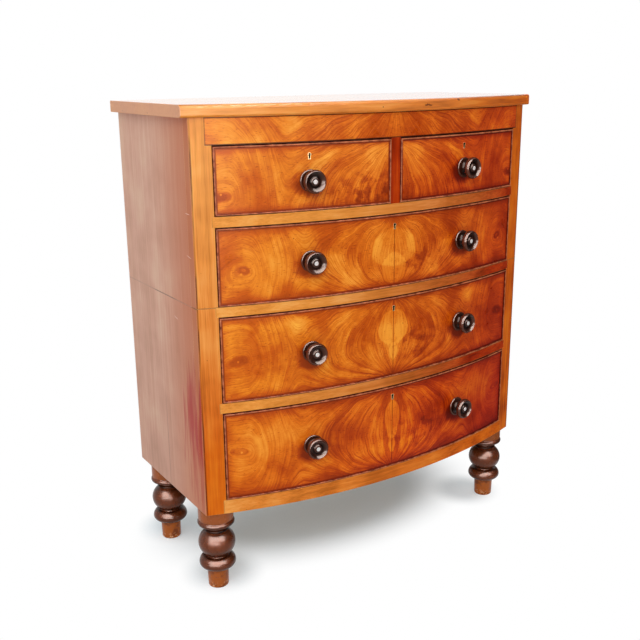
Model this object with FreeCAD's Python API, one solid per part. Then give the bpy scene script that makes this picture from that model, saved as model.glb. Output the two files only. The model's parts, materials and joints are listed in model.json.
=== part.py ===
import FreeCAD, Part
import math
import os

# A bow front chest of drawers made in two sections: two short drawers over three long ones,
# on four turned feet. Lengths are in millimetres and angles in degrees. +Z is up, -Y is the
# front. The pieces are drawn with y = 0 on the line through the two front corners of the case,
# and moved to the middle of the footprint when they are written.

# Case, as seen from the front and the side
case_width = 1050.0
case_depth = 432.0
bow_depth = 90.0
stile_width = 50.0
stile_depth = 26.0
side_thickness = 20.0

# Heights up the front, from the floor of the case to the top
base_rail_height = 37.0
bottom_opening_height = 237.5
middle_opening_height = 222.5
upper_opening_height = 193.5
short_opening_height = 165.0
rail_height = 25.5
waist_rail_height = 24.5
frieze_height = 63.0
top_thickness = 29.0

# Top board
top_side_overhang = 20.0
top_front_overhang = 12.0
top_front_upper_round = 9.0
top_front_lower_round = 5.0
top_side_round = 2.5
top_corner_round = 5.0
top_corner_overrun = 0.3

# Rails, frieze and divider
rail_back = 60.0
rail_housing = 6.0
frieze_lap = 15.0
frieze_thickness = 28.0
base_rail_clearance = 0.3
divider_width = 28.0
divider_depth = 70.0

# Inside of the case
runner_width = 60.0
runner_height = 20.0
guide_height = 18.0
centre_runner_width = 90.0
centre_kicker_width = 70.0
floor_board_thickness = 12.0
bottom_board_thickness = 10.0
board_housing = 6.0
back_board_thickness = 10.0
back_board_count = 6
back_board_gap = 0.8
back_rebate = 10.0
back_rebate_clearance = 0.2

# Drawer stops, glued on the rails behind the drawer fronts
stop_length = 40.0
stop_width = 12.0
stop_height = 5.5
stop_clearance = 0.4
long_stop_offset = 300.0
short_stop_offset = 120.0

# Dowels that hold the upper section in place on the lower one
dowel_radius = 4.0
dowel_clearance = 0.4
dowel_rise = 14.0
dowel_depth = 18.0
dowel_edge_inset = 7.0
dowel_front_inset = 110.0
dowel_back_inset = 72.0

# Drawers
drawer_gap = 1.25
drawer_top_gap = 2.5
front_recess = 1.0
front_thickness = 24.0
drawer_side_thickness = 11.0
drawer_side_drop = 3.0
drawer_back_thickness = 11.0
drawer_back_drop = 8.0
drawer_back_clearance = 10.0
drawer_bottom_thickness = 8.0
drawer_bottom_lift = 9.0
drawer_bottom_groove = 5.0
tail_pitch = 42.0
tail_share = 0.64
tail_slope = 0.16
tail_lap = 1.5

# Cock beads round the drawer fronts
bead_thickness = 4.5
bead_depth = 10.0
bead_stand = 2.2
bead_bevel = 1.5

# Locks
lock_plate_width = 60.0
lock_plate_height = 46.0
lock_plate_thickness = 1.6
lock_body_width = 46.0
lock_body_height = 40.0
lock_body_thickness = 9.5
lock_sinking = 0.4
bolt_width = 20.0
bolt_height = 20.0
bolt_thickness = 5.5
bolt_clearance = 0.3
bolt_travel = 8.0
mortise_clearance = 1.5
keyhole_drop = 27.0
keyhole_radius = 3.2
keyhole_slot_width = 3.8
keyhole_slot_length = 10.0
keyhole_lining = 1.5
keyhole_lining_depth = 8.0
keyhole_lining_stand = 0.3

# Knobs: radii and distances out from the drawer front
knob_spigot_radius = 9.0
knob_spigot_length = 18.0
knob_spigot_clearance = 0.1
knob_flange_radius = 27.0
knob_flange_thickness = 6.0
knob_neck_radius = 11.5
knob_neck_reach = 15.5
knob_head_start = 24.0
knob_head_radius = 28.8
knob_rim_radius = 25.0
knob_projection = 40.0
knob_dish_radius = 12.5
knob_dish_depth = 6.5
knob_dish_wall_radius = 20.0
knob_dish_wall_depth = 5.0
knob_boss_radius = 9.0
knob_boss_depth = 3.5
knob_boss_shoulder_radius = 10.8
knob_boss_shoulder_depth = 4.6
knob_inlay_radius = 5.4
knob_inlay_thickness = 2.2
knob_inlay_dome = 0.5
short_knob_drop = 8.0

# Turned feet, listed from the case down to the floor
foot_side_inset = 47.0
foot_front_inset = 44.0
foot_back_inset = 77.0
foot_drum_radius = 46.5
foot_drum_height = 35.0
foot_groove_radius = 44.0
foot_groove_height = 3.0
foot_bead_radius = 49.0
foot_bead_height = 12.0
foot_bead_peak = 5.5
foot_neck_radius = 26.0
foot_neck_height = 13.0
foot_neck_hollow = 7.0
foot_ring_radius = 32.0
foot_ring_height = 7.0
foot_ball_radius = 49.0
foot_ball_height = 69.0
foot_ball_end_radius = 28.0
foot_waist_radius = 27.0
foot_waist_height = 4.0
foot_ledge_radius = 36.0
foot_disc_radius = 48.5
foot_disc_fall = 21.5
foot_disc_shoulder_radius = 45.5
foot_disc_shoulder_fall = 8.0
foot_disc_underside = 11.5
foot_disc_turn_radius = 43.0
foot_disc_turn_fall = 8.0
foot_ankle_radius = 28.5
foot_sole_radius = 27.0
foot_sole_round = 4.0
foot_ankle_height = 57.0
foot_tenon_radius = 14.0
foot_tenon_length = 26.0
foot_tenon_clearance = 0.1
foot_block_length = 90.0
foot_block_width = 71.0
foot_block_height = 18.0

vec = FreeCAD.Vector
up = vec(0, 0, 1)

# The bow: one arc through the two front corners of the case
half_width = case_width / 2
bow_radius = (half_width**2 + bow_depth**2) / (2 * bow_depth)
bow_centre_y = bow_radius - bow_depth
bow_axis = vec(0, bow_centre_y, 0)

# How far cutting shapes run past what they cut
cutter_reach = 2 * bow_depth
spare_angle = 1.0
mitre_growth = 1.0

# Positions across and along the case
opening_edge = half_width - stile_width
side_inner = half_width - side_thickness
back_inner = case_depth - back_board_thickness
rebate_edge = side_inner + back_rebate
rail_end = opening_edge + rail_housing
frieze_end = opening_edge + frieze_lap
divider_edge = divider_width / 2
knob_column = (opening_edge + divider_edge) / 2

# The base rail is as thick as the stiles leave room for at its two ends
rail_end_radius = math.hypot(rail_end, bow_centre_y - stile_depth)
base_rail_thickness = bow_radius - rail_end_radius - base_rail_clearance

# Offsets of the drawer faces from the bow line, outwards
front_face = -front_recess
front_back = front_face - front_thickness
bead_front = bead_stand
bead_back = bead_front - bead_depth
stop_front = front_back - stop_clearance

# Levels from the floor up
foot_height = (
    foot_drum_height
    + foot_groove_height
    + foot_bead_height
    + foot_neck_height
    + foot_ring_height
    + foot_ball_height
    + foot_waist_height
    + foot_disc_fall
    + foot_disc_underside
    + foot_ankle_height
)
case_bottom = foot_height
bottom_floor = case_bottom + base_rail_height
lower_rail_bottom = bottom_floor + bottom_opening_height
middle_floor = lower_rail_bottom + rail_height
waist_rail_bottom = middle_floor + middle_opening_height
section_seam = waist_rail_bottom + waist_rail_height
upper_rail_bottom = section_seam + upper_opening_height
short_floor = upper_rail_bottom + rail_height
frieze_bottom = short_floor + short_opening_height
top_underside = frieze_bottom + frieze_height
top_surface = top_underside + top_thickness
bottom_board_level = case_bottom + foot_block_height

nodes = {}


def bow_y(x, offset):
    """Depth of the bow line at x, moved outwards by offset."""
    return bow_centre_y - math.sqrt((bow_radius + offset) ** 2 - x**2)


def bow_angle(x):
    """Turn about the bow's centre that carries the middle of the front to x."""
    return math.degrees(math.asin(x / bow_radius))


def turned_to(shape, x):
    """A copy of a shape drawn at the middle of the front, carried round the bow to x."""
    copy = shape.copy()
    copy.rotate(bow_axis, up, bow_angle(x))
    return copy


def box(x0, x1, y0, y1, z0, z1):
    return Part.makeBox(x1 - x0, y1 - y0, z1 - z0, vec(x0, y0, z0))


def bow_arc(x0, x1, offset, z):
    middle = (x0 + x1) / 2
    return Part.Arc(
        vec(x0, bow_y(x0, offset), z),
        vec(middle, bow_y(middle, offset), z),
        vec(x1, bow_y(x1, offset), z),
    ).toShape()


def prism(edges, direction):
    return Part.Face(Part.Wire(Part.__sortEdges__(edges))).extrude(direction)


def bow_panel(x0, x1, outer, inner, z0, z1):
    """A bent board with both faces on arcs about the bow's centre."""
    front = bow_arc(x0, x1, outer, z0)
    back = bow_arc(x0, x1, inner, z0)
    ends = [
        Part.makeLine(vec(x, bow_y(x, outer), z0), vec(x, bow_y(x, inner), z0))
        for x in (x0, x1)
    ]
    return prism([front, back] + ends, up * (z1 - z0))


def bow_board(x0, x1, outer, back_y, z0, z1):
    """A flat board with a bowed front edge and a straight back edge."""
    front = bow_arc(x0, x1, outer, z0)
    corners = [
        vec(x0, bow_y(x0, outer), z0),
        vec(x0, back_y, z0),
        vec(x1, back_y, z0),
        vec(x1, bow_y(x1, outer), z0),
    ]
    rest = [Part.makeLine(a, b) for a, b in zip(corners, corners[1:])]
    return prism([front] + rest, up * (z1 - z0))


def outline_prism(points, direction):
    return Part.Face(Part.makePolygon(points + points[:1])).extrude(direction)


def three_point(a, b, c):
    return Part.Arc(a, b, c).toShape()


def mirrored(shape):
    return shape.mirror(vec(0, 0, 0), vec(1, 0, 0))


def make_top():
    """Top board with a bowed, rounded front edge, rounded front corners and softened side edges."""
    reach = half_width + top_side_overhang
    outer = bow_radius + top_front_overhang
    inner = bow_centre_y - case_depth - bow_depth

    # Plan of the board: each corner arc runs a little past the bowed edge, which is cut below
    corner_x = reach - top_corner_round
    centre_distance = outer - top_corner_round + top_corner_overrun
    corner_y = bow_centre_y - math.sqrt(centre_distance**2 - corner_x**2)
    lean = math.asin(corner_x / centre_distance)

    def corner_point(angle):
        x = corner_x + top_corner_round * math.sin(angle)
        return vec(x, corner_y - top_corner_round * math.cos(angle), top_underside)

    side_end = corner_point(math.pi / 2)
    arc_middle = corner_point((lean + math.pi / 2) / 2)
    arc_end = corner_point(lean)
    front = vec(0, arc_end.y - arc_end.x * math.tan(lean), top_underside)
    back = vec(reach, case_depth, top_underside)
    right = [
        Part.makeLine(back, side_end),
        three_point(side_end, arc_middle, arc_end),
        Part.makeLine(arc_end, front),
    ]
    left = [mirrored(edge) for edge in right]
    plan = right + left + [Part.makeLine(back, vec(-reach, case_depth, top_underside))]
    blank = prism(plan, up * top_thickness)
    side_edges = [
        edge
        for edge in blank.Edges
        if abs(edge.CenterOfMass.z - top_surface) < 1 and abs(edge.CenterOfMass.x) > corner_x
    ]
    blank = blank.makeFillet(top_side_round, side_edges)

    def point(radius, z):
        return vec(0, bow_centre_y - radius, z)

    diagonal = 1 - math.sqrt(0.5)
    high, low = top_front_upper_round, top_front_lower_round
    profile = [
        Part.makeLine(point(inner, top_underside), point(outer - low, top_underside)),
        three_point(
            point(outer - low, top_underside),
            point(outer - low * diagonal, top_underside + low * diagonal),
            point(outer, top_underside + low),
        ),
        Part.makeLine(point(outer, top_underside + low), point(outer, top_surface - high)),
        three_point(
            point(outer, top_surface - high),
            point(outer - high * diagonal, top_surface - high * diagonal),
            point(outer - high, top_surface),
        ),
        Part.makeLine(point(outer - high, top_surface), point(inner, top_surface)),
        Part.makeLine(point(inner, top_surface), point(inner, top_underside)),
    ]
    back_corner_angle = math.degrees(math.atan2(reach, bow_centre_y - case_depth))
    sweep = 2 * (back_corner_angle + spare_angle)
    edge_ring = Part.Face(Part.Wire(profile)).revolve(bow_axis, up, sweep)
    edge_ring.rotate(bow_axis, up, -sweep / 2)
    return blank.common(edge_ring)


def bolt_mortise(x, z):
    """Pocket in the underside of a rail that the lock bolt of the drawer below slides into."""
    half = bolt_width / 2 + mortise_clearance
    front = bow_y(0, front_back) - lock_body_thickness - lock_sinking
    pocket = box(
        -half,
        half,
        front - mortise_clearance,
        front + lock_body_thickness + mortise_clearance,
        z - mortise_clearance,
        z + bolt_travel + mortise_clearance,
    )
    return turned_to(pocket, x)


def make_rails():
    """Drawer rails, waist rail, base rail and frieze, with pockets for the lock bolts."""
    upper = bow_board(-rail_end, rail_end, 0, rail_back, upper_rail_bottom, short_floor)
    waist = bow_board(-rail_end, rail_end, 0, rail_back, waist_rail_bottom, section_seam)
    lower = bow_board(-rail_end, rail_end, 0, rail_back, lower_rail_bottom, middle_floor)
    base = bow_panel(-rail_end, rail_end, 0, -base_rail_thickness, case_bottom, bottom_floor)
    frieze = bow_panel(
        -frieze_end, frieze_end, 0, -frieze_thickness, frieze_bottom, top_underside
    )
    frieze = frieze.cut(bolt_mortise(-knob_column, frieze_bottom))
    frieze = frieze.cut(bolt_mortise(knob_column, frieze_bottom))
    nodes["frieze_rail"] = [frieze]
    nodes["upper_drawer_rail"] = [upper.cut(bolt_mortise(0, upper_rail_bottom))]
    nodes["waist_rail"] = [waist.cut(bolt_mortise(0, waist_rail_bottom))]
    nodes["lower_drawer_rail"] = [lower.cut(bolt_mortise(0, lower_rail_bottom))]
    nodes["base_rail"] = [base]
    nodes["short_drawer_divider"] = [
        bow_board(
            -divider_edge,
            divider_edge,
            0,
            bow_y(0, 0) + divider_depth,
            short_floor,
            frieze_bottom,
        )
    ]


def make_stiles():
    """Front corner posts of each section, notched round the ends of the rails."""

    def stile(z0, z1, notches):
        post = bow_board(opening_edge, half_width, 0, stile_depth, z0, z1)
        for name in notches:
            post = post.cut(box(
                opening_edge,
                frieze_end if name == "frieze_rail" else rail_end,
                -cutter_reach,
                stile_depth,
                nodes[name][0].BoundBox.ZMin,
                nodes[name][0].BoundBox.ZMax,
            ))
        return [post, mirrored(post)]

    nodes["upper_stiles"] = stile(
        section_seam, top_underside, ["upper_drawer_rail", "frieze_rail"]
    )
    nodes["lower_stiles"] = stile(
        case_bottom, section_seam, ["waist_rail", "lower_drawer_rail", "base_rail"]
    )


def make_boards():
    """The board that floors the upper section and the one that closes the bottom of the case."""
    housed = side_inner + board_housing
    floor_top = section_seam + floor_board_thickness
    floor_behind = box(-housed, housed, stile_depth, back_inner, section_seam, floor_top)
    floor_bow = bow_board(
        -opening_edge, opening_edge, stop_front, back_inner, section_seam, floor_top
    )
    nodes["upper_floor_board"] = [floor_behind.fuse(floor_bow).removeSplitter()]

    bottom_top = bottom_board_level + bottom_board_thickness
    bottom_behind = box(
        -housed, housed, stile_depth, back_inner, bottom_board_level, bottom_top
    )
    bottom_bow = bow_board(
        -opening_edge,
        opening_edge,
        -base_rail_thickness,
        back_inner,
        bottom_board_level,
        bottom_top,
    )
    board = bottom_behind.fuse(bottom_bow).removeSplitter()
    for x, y in foot_places():
        hole = Part.makeCylinder(
            foot_tenon_radius + foot_tenon_clearance,
            bottom_board_thickness,
            vec(x, y, bottom_board_level),
        )
        board = board.cut(hole)
    nodes["bottom_board"] = [board]


def dowel_places():
    x = half_width - dowel_edge_inset
    return [
        (side * x, y)
        for side in (-1, 1)
        for y in (dowel_front_inset, case_depth - dowel_back_inset)
    ]


def make_sides():
    """Sides of each section, rebated for the back and housed for the boards."""

    def side(z0, z1, board):
        panel = box(side_inner, half_width, stile_depth, case_depth, z0, z1)
        panel = panel.cut(box(side_inner, rebate_edge, back_inner, case_depth, z0, z1))
        return panel.cut(nodes[board][0])

    upper = side(section_seam, top_underside, "upper_floor_board")
    lower = side(case_bottom, section_seam, "bottom_board")
    for x, y in dowel_places():
        if x > 0:
            upper = upper.cut(Part.makeCylinder(
                dowel_radius + dowel_clearance,
                dowel_rise + dowel_clearance,
                vec(x, y, section_seam),
            ))
            lower = lower.cut(Part.makeCylinder(
                dowel_radius, dowel_depth, vec(x, y, section_seam - dowel_depth)
            ))
    nodes["upper_right_side"] = [upper]
    nodes["upper_left_side"] = [mirrored(upper)]
    nodes["lower_right_side"] = [lower]
    nodes["lower_left_side"] = [mirrored(lower)]
    nodes["section_dowels"] = [
        Part.makeCylinder(
            dowel_radius, dowel_depth + dowel_rise, vec(x, y, section_seam - dowel_depth)
        )
        for x, y in dowel_places()
    ]


def make_backs():
    """Upright back boards of each section, side by side in the rebates."""
    reach = rebate_edge - back_rebate_clearance
    pitch = (2 * reach + back_board_gap) / back_board_count

    def boards(z0, z1):
        return [
            box(
                -reach + i * pitch,
                -reach + (i + 1) * pitch - back_board_gap,
                back_inner,
                case_depth,
                z0,
                z1,
            )
            for i in range(back_board_count)
        ]

    nodes["upper_back_boards"] = boards(section_seam, top_underside)
    nodes["lower_back_boards"] = boards(case_bottom, section_seam)


def make_runners():
    """Runners that carry the drawers, guides beside them and kickers above them."""
    inner_edge = side_inner - runner_width

    def pair(shape):
        return [shape, mirrored(shape)]

    def runner(z_top, height, y0):
        return pair(box(inner_edge, side_inner, y0, back_inner, z_top - height, z_top))

    def guide(z_floor):
        z_top = z_floor + guide_height
        return pair(box(opening_edge, side_inner, stile_depth, back_inner, z_floor, z_top))

    half_centre = centre_runner_width / 2
    centre_runner = box(
        -half_centre,
        half_centre,
        rail_back,
        back_inner,
        short_floor - runner_height,
        short_floor,
    )
    centre_guide = box(
        -divider_edge,
        divider_edge,
        bow_y(0, 0) + divider_depth,
        back_inner,
        short_floor,
        short_floor + guide_height,
    )
    upper_floor = section_seam + floor_board_thickness
    nodes["upper_runners"] = (
        runner(short_floor, runner_height, rail_back)
        + guide(short_floor)
        + guide(upper_floor)
        + [centre_runner, centre_guide]
    )
    bottom_top = bottom_board_level + bottom_board_thickness
    nodes["lower_runners"] = (
        runner(middle_floor, runner_height, rail_back)
        + guide(middle_floor)
        + runner(bottom_floor, bottom_floor - bottom_top, stile_depth)
        + guide(bottom_floor)
        + runner(section_seam, runner_height, rail_back)
    )
    half_kicker = centre_kicker_width / 2
    kicker_top = frieze_bottom + runner_height
    nodes["upper_kickers"] = runner(kicker_top, runner_height, stile_depth) + [
        box(
            -half_kicker,
            half_kicker,
            bow_y(half_kicker, -frieze_thickness),
            back_inner,
            frieze_bottom,
            kicker_top,
        )
    ]


def make_stops():
    """Small blocks on the rails that the drawer fronts close against."""

    def stop(x, z):
        y = bow_y(0, stop_front)
        block = box(-stop_length / 2, stop_length / 2, y, y + stop_width, z, z + stop_height)
        return turned_to(block, x)

    nodes["upper_drawer_stops"] = [
        stop(side * (knob_column + shift), short_floor)
        for side in (-1, 1)
        for shift in (-short_stop_offset, short_stop_offset)
    ]
    nodes["lower_drawer_stops"] = [
        stop(side * long_stop_offset, z)
        for z in (middle_floor, bottom_floor)
        for side in (-1, 1)
    ]


def foot_places():
    x = half_width - foot_side_inset
    return [
        (side * x, y)
        for y in (foot_front_inset, case_depth - foot_back_inset)
        for side in (-1, 1)
    ]


def make_foot():
    """One turned foot: drum, bead, neck, ring, ball, waist, disc and ankle, with a round tenon."""
    edges = []
    corner = [vec(0, 0, case_bottom + foot_tenon_length)]

    def line_to(radius, drop):
        end = vec(radius, 0, corner[0].z - drop)
        edges.append(Part.makeLine(corner[0], end))
        corner[0] = end

    def curve_to(radius, drop, through_radius, through_drop):
        end = vec(radius, 0, corner[0].z - drop)
        middle = vec(through_radius, 0, corner[0].z - through_drop)
        edges.append(three_point(corner[0], middle, end))
        corner[0] = end

    line_to(foot_tenon_radius, 0)
    line_to(foot_tenon_radius, foot_tenon_length)
    line_to(foot_drum_radius, 0)
    line_to(foot_drum_radius, foot_drum_height)
    line_to(foot_groove_radius, 0)
    line_to(foot_groove_radius, foot_groove_height)
    bead_foot = (foot_bead_radius + foot_neck_radius) / 2
    curve_to(bead_foot, foot_bead_height, foot_bead_radius, foot_bead_peak)
    neck_end = (foot_neck_radius + foot_ring_radius) / 2
    curve_to(neck_end, foot_neck_height, foot_neck_radius, foot_neck_hollow)
    curve_to(foot_ball_end_radius, foot_ring_height, foot_ring_radius, foot_ring_height / 2)
    curve_to(foot_ball_end_radius, foot_ball_height, foot_ball_radius, foot_ball_height / 2)
    line_to(foot_waist_radius, 0)
    line_to(foot_waist_radius, foot_waist_height)
    line_to(foot_ledge_radius, 0)
    curve_to(
        foot_disc_radius, foot_disc_fall, foot_disc_shoulder_radius, foot_disc_shoulder_fall
    )
    curve_to(
        foot_ankle_radius, foot_disc_underside, foot_disc_turn_radius, foot_disc_turn_fall
    )
    line_to(foot_sole_radius, foot_ankle_height - foot_sole_round)
    turn_in = foot_sole_round * (1 - math.sqrt(0.5))
    curve_to(
        foot_sole_radius - foot_sole_round,
        foot_sole_round,
        foot_sole_radius - turn_in,
        foot_sole_round - turn_in,
    )
    line_to(0, 0)
    edges.append(Part.makeLine(corner[0], vec(0, 0, case_bottom + foot_tenon_length)))
    return Part.Face(Part.Wire(edges)).revolve(vec(0, 0, 0), up, 360)


def make_feet():
    foot = make_foot()
    feet = []
    blocks = []
    for x, y in foot_places():
        feet.append(foot.translated(vec(x, y, 0)))
        edge = math.copysign(side_inner, x)
        inner = edge - math.copysign(foot_block_width, x)
        front = max(stile_depth, y - foot_block_length / 2)
        block = box(
            min(edge, inner),
            max(edge, inner),
            front,
            front + foot_block_length,
            case_bottom,
            bottom_board_level,
        )
        hole = Part.makeCylinder(
            foot_tenon_radius + foot_tenon_clearance, foot_block_height, vec(x, y, case_bottom)
        )
        blocks.append(block.cut(hole))
    nodes["turned_feet"] = feet
    nodes["foot_blocks"] = blocks


def make_knob():
    """One knob at the middle of the front, pointing forwards: turned body and round inlay."""
    face_y = bow_y(0, front_face)

    def point(radius, reach):
        return vec(radius, face_y - reach, 0)

    flange_round = knob_flange_thickness / 2
    boss_reach = knob_projection - knob_boss_depth
    dish_reach = knob_projection - knob_dish_depth
    inlay_bed = boss_reach - knob_inlay_thickness
    rim_mid = (knob_head_start + knob_projection) / 2
    back = point(0, -knob_spigot_length)
    outline = [
        Part.makeLine(back, point(knob_spigot_radius, -knob_spigot_length)),
        Part.makeLine(point(knob_spigot_radius, -knob_spigot_length), point(knob_spigot_radius, 0)),
        Part.makeLine(point(knob_spigot_radius, 0), point(knob_flange_radius - flange_round, 0)),
        three_point(
            point(knob_flange_radius - flange_round, 0),
            point(knob_flange_radius, flange_round),
            point(knob_flange_radius - flange_round, knob_flange_thickness),
        ),
        three_point(
            point(knob_flange_radius - flange_round, knob_flange_thickness),
            point(knob_neck_radius, knob_neck_reach),
            point(knob_rim_radius, knob_head_start),
        ),
        three_point(
            point(knob_rim_radius, knob_head_start),
            point(knob_head_radius, rim_mid),
            point(knob_rim_radius, knob_projection),
        ),
        three_point(
            point(knob_rim_radius, knob_projection),
            point(knob_dish_wall_radius, knob_projection - knob_dish_wall_depth),
            point(knob_dish_radius, dish_reach),
        ),
        three_point(
            point(knob_dish_radius, dish_reach),
            point(knob_boss_shoulder_radius, knob_projection - knob_boss_shoulder_depth),
            point(knob_boss_radius, boss_reach),
        ),
        Part.makeLine(point(knob_boss_radius, boss_reach), point(knob_inlay_radius, boss_reach)),
        Part.makeLine(point(knob_inlay_radius, boss_reach), point(knob_inlay_radius, inlay_bed)),
        Part.makeLine(point(knob_inlay_radius, inlay_bed), point(0, inlay_bed)),
        Part.makeLine(point(0, inlay_bed), back),
    ]
    dome = point(0, boss_reach + knob_inlay_dome)
    dome_radius = (knob_inlay_radius**2 + knob_inlay_dome**2) / (2 * knob_inlay_dome)
    half_radius = knob_inlay_radius / 2
    half_fall = dome_radius - math.sqrt(dome_radius**2 - half_radius**2)
    inlay_outline = [
        Part.makeLine(point(0, inlay_bed), point(knob_inlay_radius, inlay_bed)),
        Part.makeLine(point(knob_inlay_radius, inlay_bed), point(knob_inlay_radius, boss_reach)),
        three_point(
            point(knob_inlay_radius, boss_reach),
            point(half_radius, boss_reach + knob_inlay_dome - half_fall),
            dome,
        ),
        Part.makeLine(dome, point(0, inlay_bed)),
    ]
    axis = vec(0, 1, 0)
    body = Part.Face(Part.Wire(outline)).revolve(back, axis, 360)
    inlay = Part.Face(Part.Wire(inlay_outline)).revolve(back, axis, 360)
    return body, inlay


def keyhole(grow, y0, y1, z):
    """A keyhole shape running from y0 back to y1: a round eye over a slot, grown all round."""
    eye = Part.makeCylinder(keyhole_radius + grow, y1 - y0, vec(0, y0, z), vec(0, 1, 0))
    half = keyhole_slot_width / 2 + grow
    slot = box(-half, half, y0, y1, z - keyhole_slot_length - grow, z)
    return eye.fuse(slot).removeSplitter()


def make_lock(z_top):
    """Lock for a drawer front whose top edge is at z_top, drawn at the middle of the front.

    Returns the lock case, the bolt, the lining of the keyhole and the recess the case needs.
    """
    face_y = bow_y(0, front_face)
    back_y = bow_y(0, front_back) - lock_sinking
    half_plate = lock_plate_width / 2
    half_body = lock_body_width / 2
    body_y = back_y - lock_body_thickness
    plate_y = back_y - lock_plate_thickness
    plate = box(-half_plate, half_plate, plate_y, back_y, z_top - lock_plate_height, z_top)
    body = box(-half_body, half_body, body_y, back_y, z_top - lock_body_height, z_top)
    cap = box(-half_plate, half_plate, body_y, back_y, z_top - lock_plate_thickness, z_top)
    case = plate.fuse([body, cap]).removeSplitter()
    recess = box(
        -half_plate,
        half_plate,
        plate_y,
        back_y + cutter_reach,
        z_top - lock_plate_height,
        z_top,
    )
    recess = recess.fuse([body, cap]).removeSplitter()

    bolt_y = (body_y + plate_y - bolt_thickness) / 2
    half_bolt = bolt_width / 2
    bolt = box(
        -half_bolt, half_bolt, bolt_y, bolt_y + bolt_thickness, z_top - bolt_height, z_top
    )
    slot = box(
        -half_bolt - bolt_clearance,
        half_bolt + bolt_clearance,
        bolt_y - bolt_clearance,
        bolt_y + bolt_thickness + bolt_clearance,
        z_top - bolt_height,
        z_top,
    )
    eye_z = z_top - keyhole_drop
    lining_y = face_y - keyhole_lining_stand
    case = case.cut(slot).cut(keyhole(0, body_y, plate_y, eye_z))
    lining_end = face_y + keyhole_lining_depth
    lining = keyhole(keyhole_lining, lining_y, lining_end, eye_z)
    lining = lining.cut(keyhole(0, lining_y, lining_end, eye_z))
    opening = keyhole(keyhole_lining, lining_y - cutter_reach, lining_end, eye_z)
    opening = opening.fuse(keyhole(0, lining_end, body_y, eye_z))
    return case, bolt, lining, recess.fuse(opening)


def dovetails(x0, x1, y_tip, y_root, z0, z1):
    """Tails along one end of a drawer side: wide at the tip and narrower at the root."""
    count = max(2, round((z1 - z0) / tail_pitch))
    pitch = (z1 - z0) / count
    tip = pitch * tail_share / 2
    root = tip - tail_slope * abs(y_root - y_tip)
    tails = []
    for i in range(count):
        z = z0 + (i + 0.5) * pitch
        outline = [
            vec(x0, y_tip, z - tip),
            vec(x0, y_tip, z + tip),
            vec(x0, y_root, z + root),
            vec(x0, y_root, z - root),
        ]
        tails.append(outline_prism(outline, vec(x1 - x0, 0, 0)))
    return tails


def make_beads(x0, x1, z0, z1):
    """Four cock beads with bevelled noses, mitred at the corners, round a drawer front."""
    thick = bead_thickness
    bevel = bead_bevel

    def swept(z):
        tip = bow_y(0, bead_front)
        root = bow_y(0, bead_back)
        section = [
            (root, 0),
            (root, thick),
            (tip + bevel, thick),
            (tip, thick - bevel),
            (tip, bevel),
            (tip + bevel, 0),
        ]
        points = [vec(0, y, z + rise) for y, rise in section]
        start, end = bow_angle(x0) - spare_angle, bow_angle(x1) + spare_angle
        strip = Part.Face(Part.makePolygon(points + points[:1]))
        strip = strip.revolve(bow_axis, up, end - start)
        strip.rotate(bow_axis, up, start)
        return strip

    def upright(x):
        tip = bow_y(x + thick / 2, bead_front)
        section = [
            (0, bow_y(x, bead_back)),
            (thick, bow_y(x + thick, bead_back)),
            (thick, tip + bevel),
            (thick - bevel, tip),
            (bevel, tip),
            (0, tip + bevel),
        ]
        return outline_prism([vec(x + across, y, z0) for across, y in section], up * (z1 - z0))

    def mitre(corners):
        points = [vec(x, -cutter_reach, z) for x, z in corners]
        return outline_prism(points, vec(0, 2 * cutter_reach, 0))

    # Each mitre shape is the bead's own strip, grown past both its faces along the mitres
    out = mitre_growth
    inside = thick + mitre_growth
    top_left, top_right = (x0 - out, z1 + out), (x1 + out, z1 + out)
    low_left, low_right = (x0 - out, z0 - out), (x1 + out, z0 - out)
    inner_top_left, inner_top_right = (x0 + inside, z1 - inside), (x1 - inside, z1 - inside)
    inner_low_left, inner_low_right = (x0 + inside, z0 + inside), (x1 - inside, z0 + inside)
    return [
        swept(z1 - thick).common(mitre([top_left, top_right, inner_top_right, inner_top_left])),
        swept(z0).common(mitre([low_left, low_right, inner_low_right, inner_low_left])),
        upright(x0).common(mitre([low_left, top_left, inner_top_left, inner_low_left])),
        upright(x1 - thick).common(mitre([low_right, top_right, inner_top_right, inner_low_right])),
    ]


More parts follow.
